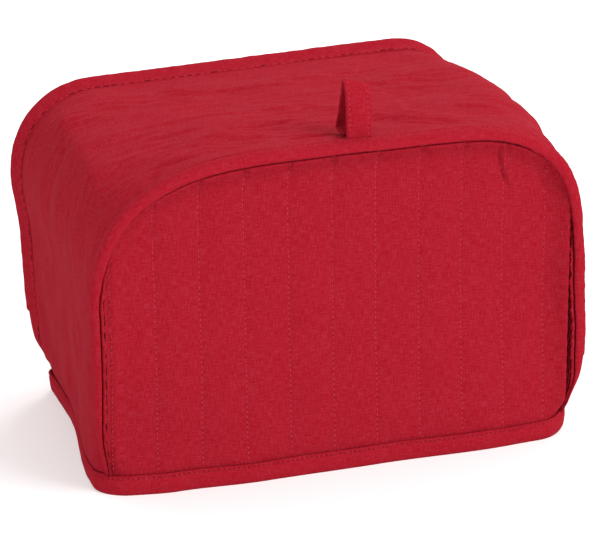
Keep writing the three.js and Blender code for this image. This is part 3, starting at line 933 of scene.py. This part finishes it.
@dataclass
class QuiltedBand:
    """The one quilted band: left side, top and right side in one length."""

    name: str = "gusset_cloth"
    leg_rows: int = 56
    across_step: float = 1.25
    seed: int = 40
    thickness: ClothThickness = ClothThickness(stitched=1.0, crown=1.3, puff_power=0.7)

    RIM_FACE = ((8.4, 1.2, 1.0), (4.6, 1.2, 0.5), (1.0, 1.2, 0.0), (None, 1.2, -2.0))
    RIM_INSIDE = ((8.4, 0.2, 1.0), (4.6, 0.2, 0.5), (0.0, 0.2, 0.0), (None, 0.15, -2.2))
    FLAT_FACE = ((0.7, 0.2), (0.7, -0.4), (0.7, -1.1), (0.7, -2.6))
    FLAT_INSIDE = ((0.3, -0.2), (-0.35, -0.85), (-0.7, -1.2), (-0.7, -2.1))
    RIM_STEPS = 3
    BROAD = Swell(height=1.1, size=42)
    FINE = Swell(height=0.24, size=9)
    WRINKLES = Swell(height=1.0, size=8)
    PATCHES = Swell(height=1.0, size=60)
    GATHERS = Puckers(height=0.16, length=6.7, sway=2.4, sway_size=26)
    CREASE_DEPTH = 2.7
    FACING_UP = (0.75, 0.98)

    def places(self) -> Array:
        """Places across the band, its quilting lines among them."""
        channel = DEPTH / BAND_CHANNELS
        steps = round(channel / self.across_step)
        inside = np.linspace(channel, DEPTH - channel, (BAND_CHANNELS - 2) * steps + 1)
        margin = np.linspace(6, channel, steps - 2)[:-1]
        return np.concatenate([margin, inside, (DEPTH - margin)[::-1]])

    def rim(self, seam: SeamLine, at: Stations, beside: Array, rim: Sequence,
            flat: Sequence) -> Array:
        """Points of one turned-out edge, from its tip to the band's body."""
        rings = []
        for (far, side, tip), still in zip(rim, flat):
            turned = (seam.beside(at, side, tip) if far is None
                      else seam.on_rim(at, far, side, tip))
            rings.append(seam.above_hem(at, turned, still))
        rings.append(beside)
        return finer(np.array(rings), self.RIM_STEPS)[:-1]

    def folds(self, x: Array, y: Array, z: Array, run: Array, out_z: Array) -> Array:
        """How far the whole cloth stands out at each place, in mm."""
        free = ramp(y, 3, 14) * ramp(DEPTH - y, 3, 14) * ramp(z, 13, 26)
        swell = self.BROAD.at(run, y, self.seed) + self.FINE.at(run * 0.6, y, self.seed + 1)
        patch = ramp(self.PATCHES.at(run, y, self.seed + 6), -0.4, 0.8)
        wrinkles = patch * self.WRINKLES.at(run * 0.34, y, self.seed + 5) \
            * ramp(out_z, 0.2, 0.9)
        on_top = ramp(out_z, *self.FACING_UP)
        top = self.CREASE_DEPTH * creased(TOP_CREASES, x, y) * on_top
        sides = creased(LEFT_CREASES, y, z) * (x < 0) * (1 - on_top)
        near_seam = bell(np.minimum(y, DEPTH - y) - 6, 4) * ramp(z, 13, 20)
        gathers = self.GATHERS.at(run, run, y, self.seed + 2)
        return free * (swell + wrinkles) + ramp(y, 1, 6) * ramp(DEPTH - y, 1, 6) * (
            top + sides + near_seam * gathers)

    def build(self, shift: Array) -> Sewn:
        """Makes the band; returns it and the paths of its quilting lines."""
        columns = QuiltedPanel("", FRONT_SEAM, (), 0, between_steps=11).columns()
        front = FRONT_SEAM.stations(columns, self.leg_rows)
        back = BACK_SEAM.stations(columns, self.leg_rows)
        y = self.places()
        share = y / DEPTH

        def between(one: Array, two: Array) -> Array:
            return one[:, None] + (two - one)[:, None] * share

        out_x, out_z = between(front.out_x, back.out_x), between(front.out_z, back.out_z)
        length = np.hypot(out_x, out_z)
        out_x, out_z = out_x / length, out_z / length
        full = CORNER_FILL_RIGHT * 2 * np.abs(out_x * out_z) * np.sin(math.pi * share)
        turned = np.degrees(np.arctan2(out_z, np.abs(out_x)))
        off = (turned - np.interp(share, (0, 1), CREASE_TURN)) / CREASE_SPREAD
        sharp = CREASE_LEFT * np.exp(CREASE_PEAK - np.sqrt(off**2 + CREASE_ROUND))
        sharp = sharp * ramp(share, 0, 0.3) * ramp(1 - share, 0, 0.3)
        fill = np.where(out_x > 0, full, sharp)
        x = between(front.x, back.x) + fill * out_x
        z = between(front.z, back.z) + fill * out_z
        run = between(front.run, back.run)
        depth = np.broadcast_to(y, x.shape)
        size = self.thickness
        channel = DEPTH / BAND_CHANNELS
        lines = [channel * line for line in range(BAND_CHANNELS + 1)]
        half = size.stitched + (size.crown - size.stitched) * puff(lines, depth, size.puff_power)
        half = size.seam + (half - size.seam) * ramp(z, 12.9, 17)
        half = np.where(front.turned[:, None], half, size.hem)
        folds = self.folds(x, depth, z, run, out_z)
        faces = []
        for side, rim, flat in ((1, self.RIM_FACE, self.FLAT_FACE),
                                (-1, self.RIM_INSIDE, self.FLAT_INSIDE)):
            off = folds + side * half
            body = np.stack([x + off * out_x, depth, z + off * out_z], axis=-1)
            near = self.rim(FRONT_SEAM, front, body[:, 0], rim, flat)
            far = self.rim(BACK_SEAM, back, body[:, -1], rim, flat)[::-1]
            faces.append(np.concatenate(
                [near.transpose(1, 0, 2), body, far.transpose(1, 0, 2)], axis=1))
        width = faces[0].shape[1]
        margin = width - x.shape[1]
        lead = RIM_LENGTH * (np.arange(margin // 2) / (margin // 2) - 1)
        flat_y = np.concatenate([lead, y, DEPTH - lead[::-1]])
        made = SheetMesh(
            *faces, grid_cells(np.arange(len(front.x) * width).reshape(-1, width)),
            flat_map(front.run[:, None], flat_y)).build(self.name, shift)
        paths = []
        for line in lines[1:-1]:
            column = margin // 2 + int(np.argmin(np.abs(y - line)))
            paths.append(stand(faces[0][3:-3, column]) + shift)
        return made, paths


@dataclass
class SeamTape:
    """Bias tape folded over a seam's allowance and stitched through."""

    name: str
    seam: SeamLine
    seed: int
    bumps: float
    full_right: float = 0.0
    laps: bool = False
    leg_rows: int = 76

    OUTER = ((1.0, 1.95), (1.6, 2.1), (2.2, 1.75), (3.0, 2.2), (4.6, 2.5), (6.6, 2.55),
             (8.3, 2.4), (9.4, 1.9), (9.95, 1.0), (10.15, 0.0), (10.1, -1.0), (9.7, -1.9),
             (9.0, -2.35), (8.2, -2.2), (6.8, -1.7), (5.6, -1.65), (6.1, -2.3), (7.6, -2.6),
             (8.3, -3.3), (8.5, -4.1), (7.8, -4.6), (6.6, -4.3), (5.5, -3.3), (4.9, -2.2))
    DROOPED = ((1.0, 1.95), (1.6, 2.1), (2.2, 1.75), (3.0, 2.15), (4.6, 2.35), (6.6, 2.2),
               (8.2, 1.75), (9.3, 1.0), (9.9, 0.1), (10.15, -0.7), (10.1, -1.4), (9.7, -2.0),
               (9.0, -2.15), (8.2, -2.0), (7.2, -1.8), (6.4, -1.75), (6.0, -1.9),
               (6.1, -2.2), (6.2, -2.4), (6.1, -2.6), (5.9, -2.65), (5.6, -2.55),
               (5.2, -2.35), (4.9, -2.1))
    INNER = ((5.0, -1.5), (6.6, -1.5), (8.6, -1.5), (9.05, -0.8), (9.05, 0.8), (8.6, 1.5),
             (4.6, 1.5), (1.0, 1.5), (0.95, 1.7))
    LAP = ((-3.6, 1.25), (-3.3, 1.8), (-2.5, 1.85), (-0.6, 2.5))
    STITCHED = (2,)
    RIDGE = 16
    TIP_SHARE = ((2.8, 5.0, 8.4), (0, 0.5, 1))
    BIAS = Puckers(height=1.0, length=4.7, sway=1.5, sway_size=20)
    SLOW = Swell(height=0.25, size=34)
    WOBBLE = Swell(height=1.0, size=9)
    THICKEST = 2.8
    RIDGE_DROP = 2.9
    LIFT_OUT = 2.0

    def build(self, shift: Array) -> Sewn:
        """Makes the tape; returns it and the path of its stitch line."""
        panel = QuiltedPanel("", self.seam, (), 0)
        at = self.seam.stations(panel.columns(), self.leg_rows)
        at = Stations(*(getattr(at, name)[at.turned] for name in at.__dataclass_fields__))
        ring = []
        level = 0 * at.run
        droop = panel.crown_place(at.lean)[1]
        pinch = 1 - 0.3 * (1 - ramp(at.z, 12, 19))
        full = self.full_right * ramp(at.x, 100, 138) * ramp(at.z, 20, 60)
        share = at.run / at.run[-1]
        rolled = self.full_right * ramp(share, 0.15, 0.22) * (1 - ramp(share, 0.34, 0.46))
        slow = self.SLOW.at(at.run, level, self.seed + 1)
        for number, (leg_far, leg_side) in enumerate((*self.OUTER, *self.INNER)):
            far, side = leg_far, leg_side
            tip = float(np.interp(far, *self.TIP_SHARE))
            if number < len(self.OUTER):
                arch_far, arch_side = self.DROOPED[number]
                far = leg_far + (arch_far - leg_far) * droop
                side = leg_side + (arch_side - leg_side) * droop
                wobble = self.bumps * self.WOBBLE.at(
                    at.run, leg_far * 1.3 + leg_side, self.seed)
                bias = (0.1 + 0.16 * full) * self.BIAS.at(
                    at.run + 1.6 * leg_far, at.run, level, self.seed + 2)
                grow = 1 + (wobble + bias) * abs(leg_side) / self.THICKEST**2
                is_ridge = number >= self.RIDGE
                grow = grow + rolled * ((3 <= number <= 6) - 1.1 * (number <= 2))
                grow = grow + full * (1.35 if leg_side < 0 else 1.0) * (not is_ridge)
                side = side * grow * pinch - self.RIDGE_DROP * full * is_ridge
                far = far + (slow + self.LIFT_OUT * full) * tip
            ring.append(self.seam.on_rim(at, far, side, tip))
        if self.laps:
            for number, (ahead, out) in enumerate(self.LAP):
                ring[number] = self.seam.beside(at, out + slow, ahead)
            ring[-1] = self.seam.beside(at, 1.15, self.LAP[0][0])
        rings = stand(np.array(ring).transpose(1, 0, 2))
        made = swept(self.name, rings + shift, at.run, is_loop=False)
        middle = rings.mean(axis=1, keepdims=True)
        away = rings - middle
        away = away / np.linalg.norm(away, axis=-1, keepdims=True)
        raised = rings + (0.1 - 0.16 * droop[:, None, None]) * away + shift
        return made, [raised[1:-1, number] for number in self.STITCHED]


def swept(name: str, rings: Array, run: Array, is_loop: bool) -> bpy.types.Object:
    """Makes a closed sweep of section rings.

    Args:
        name: the object's name.
        rings: places in mm, rings by spots by x, y, z.
        run: how far along the piece each ring is, in mm.
        is_loop: True if the last ring joins the first.

    Returns:
        The new object.
    """
    count, spots = rings.shape[:2]
    index = np.arange(count * spots).reshape(count, spots)
    wrapped = np.concatenate([index, index[:, :1]], axis=1)
    if is_loop:
        wrapped = np.concatenate([wrapped, wrapped[:1]])
    faces = grid_cells(wrapped).tolist()
    if not is_loop:
        faces += [index[0].tolist(), index[-1][::-1].tolist()]
    step = np.linalg.norm(np.diff(rings, axis=1, prepend=rings[:, -1:]), axis=-1)
    around = np.cumsum(step, axis=1).mean(axis=0)
    return solid_object(name, rings.reshape(-1, 3), faces, flat_map(run[:, None], around))


class FootCorner(NamedTuple):
    """How the hem is drawn round the end of one seam tape, in mm."""

    right: int
    back: int
    flare: float
    lift: float

    def place(self) -> Array:
        """The corner's place on the square-cut cover."""
        return np.array([self.right * HALF_WIDTH, self.back * DEPTH])


@dataclass
class HemTape:
    """Bias tape folded over the lower edge, all the way round."""

    name: str = "hem_tape"
    seed: int = 70
    step: float = 1.7

    OUTER = ((1.05, 12.0), (1.7, 12.05), (2.35, 11.7), (2.45, 11.1), (1.6, 10.3), (2.45, 9.4),
             (2.6, 7.0), (2.5, 4.0), (2.2, 1.6), (1.4, 0.0))
    INNER = ((-1.4, 0.0), (-2.3, 2.0), (-2.4, 6.0), (-2.3, 9.4), (-1.8, 10.3), (-2.1, 11.1),
             (-1.8, 11.8), (-1.0, 12.0), (-1.0, 1.4), (-0.8, 1.0), (0.8, 1.0), (1.0, 1.4))
    STITCHED = (4, 14)
    SQUARE_STEPS = (1.1, 2.6, 4.2)
    CORNERS = (FootCorner(-1, 0, 0.4, 0.4), FootCorner(1, 0, 0.9, 2.0),
               FootCorner(1, 1, 0.6, 0.8), FootCorner(-1, 1, 1.4, 1.2))
    CORNER_REACH = 10.0
    STITCH_LINE = 10.6
    FACE_OUT = 1.3
    WAVES = Swell(height=0.5, size=60)
    PUCKER = Swell(height=0.22, size=7.5)
    ROUGH = Swell(height=0.1, size=17)
    HIGHEST = 12.35
    THREAD_LIFT = 0.12
    WIDEST = (2.3, 2.0)

    def outline(self) -> tuple[Array, Array]:
        """Places round the foot and their outward directions."""

        def side(length: float) -> Array:
            near = np.array(self.SQUARE_STEPS)
            steps = round((length - 2 * near[-1]) / self.step)
            inside = np.linspace(near[-1], length - near[-1], steps)
            return np.concatenate([near[:-1], inside, length - near[:-1][::-1]])

        places, outs = [], []
        for number, corner in enumerate(self.CORNERS):
            start = corner.place()
            end = self.CORNERS[(number + 1) % len(self.CORNERS)].place()
            length = float(np.linalg.norm(end - start))
            along = (end - start) / length
            places.append(start[None])
            outs.append(np.array([[corner.right, 1 if corner.back else -1]]))
            run = side(length)
            places.append(start + run[:, None] * along)
            outs.append(np.tile([along[1], -along[0]], (len(run), 1)))
        return np.concatenate(places), np.concatenate(outs)

    def build(self, shift: Array) -> Sewn:
        """Makes the hem; returns it and the paths of its two stitch lines."""
        places, outs = self.outline()
        run = distance_along(places)
        flare, lift = np.zeros(len(places)), np.zeros(len(places))
        for corner in self.CORNERS:
            away = np.linalg.norm(places - corner.place(), axis=1)
            near = bell(away, self.CORNER_REACH)
            flare, lift = flare + corner.flare * near, lift + corner.lift * near
        waves = self.WAVES.at(run, 0 * run, self.seed)
        ring = []
        for out, up in (*self.OUTER, *self.INNER):
            is_face = abs(out) > self.FACE_OUT
            rough = self.ROUGH.at(run, up, self.seed + 2) \
                + self.PUCKER.at(run, up * 0.8 + out, self.seed + 1) \
                * bell(up - self.STITCH_LINE, 1.8)
            wide = out * (1 + rough * is_face * (up > 0.5) / 1.6)
            high = up + (waves * (up / 12) ** 2 if up > 1.5 else 0.0)
            outside = up / HEM_TOP if out > 0.9 else 0.0
            high = np.minimum(high, self.HIGHEST) + lift * outside**2
            wide = wide + flare * outside
            point = places + wide[:, None] * outs
            ring.append(np.concatenate([point, np.asarray(high)[:, None]], axis=1))
        rings = stand(np.array(ring).transpose(1, 0, 2))
        made = swept(self.name, rings + shift, run, is_loop=True)
        paths = []
        for number, way in zip(self.STITCHED, (1, -1)):
            path = rings[:, number] + np.concatenate(
                [self.THREAD_LIFT * way * outs, np.zeros((len(outs), 1))], axis=1) + shift
            paths.append(np.concatenate([path, path[:1]]))
        return made, paths


@dataclass
class HangingLoop:
    """A doubled, edge-stitched tape that rises, folds over and comes back."""

    name: str = "hanging_loop_tape"
    left: float = 1.5
    width: float = 15.0
    half: float = 0.85
    tilt: float = 0.28
    base: float = 199.2
    columns: int = 15
    PATH = ((-0.5, -2.6), (0.2, 10), (1.2, 22), (3.4, 30.2), (5.6, 30.4), (8.6, 22),
            (12.6, 11), (16.2, 3.4), (15.4, 0.9), (5.2, 0))
    STITCHED = (2, 12)
    TALLEST = 30.4
    WARP = Swell(height=0.25, size=14)
    SEED = 5

    def build(self, shift: Array) -> Sewn:
        """Makes the loop; returns it and the paths of both edges' stitches."""
        path = finer(np.array(self.PATH, dtype=float), 8)
        along = np.gradient(path, axis=0)
        along = along / np.linalg.norm(along, axis=1, keepdims=True)
        raised = np.clip(path[:, 1] / self.TALLEST, 0, 1)
        share = np.linspace(0, 1, self.columns)
        across = self.width * share
        run = distance_along(path)
        edge = np.minimum(share, 1 - share) * self.width
        half = self.half * (1 - 0.45 * bell(edge, 0.5)) - 0.22 * bell(edge - 2.1, 0.55)
        bow = 0.7 * np.sin(math.pi * share) * (raised * (1 - raised) * 4)[:, None]
        bow = bow + self.WARP.at(across[None], run[:, None], self.SEED)
        sides = []
        for way in (1, -1):
            off = way * half + bow * ramp(raised, 0.02, 0.3)[:, None]
            y = path[:, :1] - along[:, 1:] * off
            z = self.base + path[:, 1:] + along[:, :1] * off \
                - self.tilt * across * raised[:, None]
            x = np.broadcast_to(self.left + across, y.shape)
            sides.append(np.stack([x, y, z], axis=-1))
        index = np.arange(len(path) * self.columns).reshape(-1, self.columns)
        made = SheetMesh(*sides, grid_cells(index), flat_map(across[None], run[:, None])) \
            .build(self.name, shift)
        paths = [stand(side[2:-14, number]) + shift
                 for side in sides for number in self.STITCHED]
        return made, paths


FRONT_CREASES = tuple(Crease(*row) for row in (
    (95.6, 174, 32, 104, 1.0, -1.9, 1.6), (98.0, 173, 28, 104, 1.4, 0.7, 1.6),
    (46.0, 188, 9, 98, 1.1, -1.2), (-8.5, 190, 7, 90, 1.1, -1.0),
    (-133.5, 22, 11, -8, 0.9, -0.8), (-133, 24.4, 11, -8, 1.4, 0.45),
    (-132, 88, 16, 12, 2.2, -0.3), (-130, 62, 18, 6, 2.4, 0.3), (60, 60, 90, 78, 9, 0.35),
    (-40, 110, 80, 96, 10, -0.35),
))
BACK_CREASES = tuple(Crease(*row) for row in (
    (-90, 168, 26, 70, 1.4, -0.6), (88, 165, 24, 112, 1.4, -0.5), (10, 90, 110, 84, 9, 0.4),
))
TOP_CREASES = tuple(Crease(*row) for row in (
    (-14, 12, 26, 3, 0.8, -0.8), (-12, 14.4, 24, 3, 1.0, 0.5), (-20, 21, 20, -4, 0.9, -0.6),
    (-92, 14, 24, -10, 1.0, -0.7), (-92, 16.4, 24, -10, 1.2, 0.6),
    (-70, 12, 16, -22, 0.9, -0.6), (-104, 9, 10, 50, 0.9, -0.7),
    (58, 22, 52, -24, 1.2, 0.6), (54, 15, 44, -20, 1.1, -0.55),
    (72, 18, 40, -30, 1.2, -0.45), (95, 40, 30, -16, 1.4, 0.5), (30, 38, 60, -8, 1.5, 0.45),
    (26, 34, 50, -9, 1.3, -0.4), (-58, 36, 34, -12, 1.2, 0.5), (-40, 44, 46, 8, 1.2, -0.4),
    (-30, 52, 64, 5, 1.5, -0.5), (-74, 60, 30, -6, 1.3, 0.45), (-60, 82, 80, -4, 1.8, 0.5),
    (26, 104, 90, 6, 1.6, -0.45), (-20, 132, 70, -7, 1.5, 0.45),
    (70, 140, 54, 8, 1.5, -0.4), (-70, 120, 40, 14, 1.3, -0.4), (50, 74, 46, 12, 1.4, 0.4),
    (10, 70, 40, -14, 1.3, -0.35),
))
LEFT_CREASES = tuple(Crease(*row) for row in (
    (60, 60, 70, 80, 7, -0.5), (120, 90, 90, 96, 8, 0.5), (20, 100, 40, 30, 2.2, -0.25),
    (90, 40, 60, 10, 6, 0.35),
))


class Lamp(NamedTuple):
    """A square soft light: its place, what it looks at, size in metres, watts."""

    name: str
    place: tuple[float, float, float]
    aim: tuple[float, float, float]
    size: float
    power: float


def placed(place: Sequence[float], right: Sequence[float], up: Sequence[float],
           back: Sequence[float]) -> Matrix:
    """Matrix of an object at a place in metres, its own axes turned these ways."""
    return Matrix.Translation(place) @ Matrix((right, up, back)).transposed().to_4x4()


@dataclass(frozen=True)
class Studio:
    """Pale floor, soft light and the photograph's camera.

    The camera's place and turn come from a fit of the cover's own lines in the
    photograph; its rows are right, down and forward.
    """

    lens: float = 138.06
    place: tuple[float, float, float] = (-422.3, -1232.4, 559.6)
    right: tuple[float, float, float] = (0.9433, -0.3316, -0.0126)
    down: tuple[float, float, float] = (-0.1229, -0.3139, -0.9415)
    forward: tuple[float, float, float] = (0.3082, 0.8897, -0.3369)
    floor_half: float = 9.0
    floor_glow: float = 0.31

    LAMPS = (Lamp("key", (1.3, -2.1, 2.0), (0.0, 0.0, 0.1), 1.3, 53.5),
             Lamp("back", (1.3, 2.3, 1.8), (0.0, 0.0, 0.15), 1.0, 36.0))

    def set_up(self) -> None:
        """Adds the floor, the lights, the world and the camera."""
        scene = bpy.context.scene
        scene.view_settings.view_transform = "Standard"
        eye = add_object("camera", bpy.data.cameras.new("camera"))
        eye.data.lens = self.lens
        eye.data.sensor_width = 36.0
        eye.data.clip_end = 50.0
        up, back = (np.negative(way).tolist() for way in (self.down, self.forward))
        eye.matrix_world = placed([part * MM for part in self.place], self.right, up, back)
        scene.camera = eye
        self.floor()
        world = bpy.data.worlds.new("studio")
        world.use_nodes = True
        sky = world.node_tree.nodes["Background"].inputs
        sky["Color"].default_value = (1.0, 1.0, 1.0, 1.0)
        sky["Strength"].default_value = 1.0
        scene.world = world
        for lamp in self.LAMPS:
            self.light(lamp)

    def floor(self) -> None:
        """A large plain pale floor."""
        half = self.floor_half
        mesh = bpy.data.meshes.new("floor")
        mesh.from_pydata([(-half, -half, 0), (half, -half, 0), (half, half, 0), (-half, half, 0)],
                         [], [(0, 1, 2, 3)])
        paint = bpy.data.materials.new("pale_floor")
        paint.use_nodes = True
        shader = paint.node_tree.nodes["Principled BSDF"].inputs
        shader["Base Color"].default_value = srgb("#dcdcdc")
        shader["Roughness"].default_value = 0.9
        shader["Emission Color"].default_value = (1.0, 1.0, 1.0, 1.0)
        shader["Emission Strength"].default_value = self.floor_glow
        mesh.materials.append(paint)
        add_object("floor", mesh)

    def light(self, lamp: Lamp) -> None:
        """Adds one soft light, turned to its aim."""
        bulb = bpy.data.lights.new(lamp.name, "AREA")
        bulb.size, bulb.energy = lamp.size, lamp.power
        start, end = np.array(lamp.place), np.array(lamp.aim)
        back = (start - end) / np.linalg.norm(end - start)
        right = np.cross((0.0, 0.0, 1.0), back)
        right = right / np.linalg.norm(right)
        up = np.cross(back, right)
        add_object(lamp.name, bulb).matrix_world = placed(
            lamp.place, right.tolist(), up.tolist(), back.tolist())


@dataclass
class ToasterCover:
    """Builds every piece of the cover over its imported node."""

    quilted: bpy.types.Material
    tape: bpy.types.Material
    sewing: Sewing

    def shift(self) -> Array:
        """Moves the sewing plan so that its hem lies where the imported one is."""
        places, outs = HemTape().outline()
        out, up = HemTape.WIDEST
        edge = places + out * outs
        ring = stand(np.concatenate([edge, np.full((len(edge), 1), up)], axis=1))
        low, high = (np.array(corner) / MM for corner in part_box("hem_binding"))
        middle = (low + high) / 2 - (ring.min(axis=0) + ring.max(axis=0)) / 2
        return np.array([middle[0], middle[1], 0.0])

    def add(self, piece: bpy.types.Object, node: str, wear: Wear, flat: tuple[float, float],
            paths: list[Array], size: StitchSize, hole: StitchSize, seed: int,
            held: str = "draped", area: float | None = None,
            shaded: Sequence[Array] = ()) -> None:
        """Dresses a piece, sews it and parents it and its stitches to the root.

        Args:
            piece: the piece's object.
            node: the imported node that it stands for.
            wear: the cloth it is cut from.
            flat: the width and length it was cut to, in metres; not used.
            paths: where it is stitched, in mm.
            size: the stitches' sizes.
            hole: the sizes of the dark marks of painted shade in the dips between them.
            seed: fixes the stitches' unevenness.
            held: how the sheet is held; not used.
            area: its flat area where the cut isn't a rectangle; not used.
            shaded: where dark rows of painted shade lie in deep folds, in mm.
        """
        piece.data.materials.append(self.quilted if wear is Wear.QUILTED else self.tape)
        stitches = self.sewing.row(node + "_stitches", paths, size, seed)
        # Dark marks in the needle dips: painted shade.
        dips = self.sewing.row(node + "_needle_dips", paths, hole, seed + 1, is_dip_shade=True)
        sewn = [stitches, dips]
        if shaded:
            # Dark rows of painted shade along the deep seams.
            sewn.append(self.sewing.row(node + "_seam_in_shade", shaded, SEAM_PAINTED_SHADE,
                                        seed + 2, is_dip_shade=True))
        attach(piece, "root")
        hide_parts(node)
        for extra in sewn:
            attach(extra, "root")
        log.info("%s: %d faces, %d stitch faces", piece.name, len(piece.data.polygons),
                 len(stitches.data.polygons))

    def build(self) -> None:
        """Builds, dresses and places every piece."""
        shift = self.shift()
        log.info("plan moved by %s mm", shift.round(3))
        panels = (
            QuiltedPanel("front_panel_cloth", FRONT_SEAM, FRONT_CREASES, seed=11),
            QuiltedPanel("back_panel_cloth", BACK_SEAM, BACK_CREASES, seed=21, leg_rows=60,
                         between_steps=11),
        )
        for panel, node in zip(panels, ("front_panel", "back_panel")):
            piece, paths = panel.build(shift)
            shaded = panel.shaded_paths(shift) if panel.seam is FRONT_SEAM else ()
            self.add(piece, node, Wear.QUILTED, (0.303, 0.205), paths, QUILTING,
                     QUILTING_DIP_SHADE, panel.seed, area=0.0575, shaded=shaded)
        piece, paths = QuiltedBand().build(shift)
        self.add(piece, "gusset", Wear.QUILTED, (0.195, 0.60), paths, BAND_QUILTING,
                 BAND_DIP_SHADE, 31)
        tapes = (
            SeamTape("front_seam_tape", FRONT_SEAM, seed=51, bumps=0.2, full_right=0.4),
            SeamTape("back_seam_tape", BACK_SEAM, seed=61, bumps=0.45, laps=True),
        )
        for tape, node in zip(tapes, ("front_binding", "back_binding")):
            piece, paths = tape.build(shift)
            self.add(piece, node, Wear.TAPE, (0.025, 0.57), paths, TAPE_STITCH,
                     BACK_TAPE_DIP_SHADE if tape.laps else TAPE_DIP_SHADE, tape.seed, held="folded")
        piece, paths = HemTape().build(shift)
        self.add(piece, "hem_binding", Wear.TAPE, (0.028, 0.928), paths, TAPE_STITCH,
                 TAPE_DIP_SHADE, 71, held="folded")
        piece, paths = HangingLoop().build(shift)
        self.add(piece, "hanging_loop", Wear.TAPE, (0.015, 0.088), paths, TAPE_STITCH,
                 TAPE_DIP_SHADE, 81, held="folded")


def main() -> None:
    """Builds the studio and the cover."""
    logging.basicConfig(level=logging.INFO, format="%(name)s: %(message)s")
    Studio().set_up()
    quilted = PlainWeaveCotton("dyed_plain_weave_cotton", "#951825", "#8f0e1c", "#9b2333")
    tape = PlainWeaveCotton("dyed_cotton_bias_tape", "#971825", "#920e1c", "#9d2333")
    thread = SpunThread("spun_polyester_thread", "#c63c50")
    # A dark finish that paints the shade in needle dips and deep seams, not a thread's own
    # colour.
    dip = SpunThread("painted_shade_thread", "#5c0a14", roughness=0.9)
    ToasterCover(
        quilted.material(), tape.material(), Sewing(thread.material(), dip.material()),
    ).build()


if __name__ == "__main__":
    main()
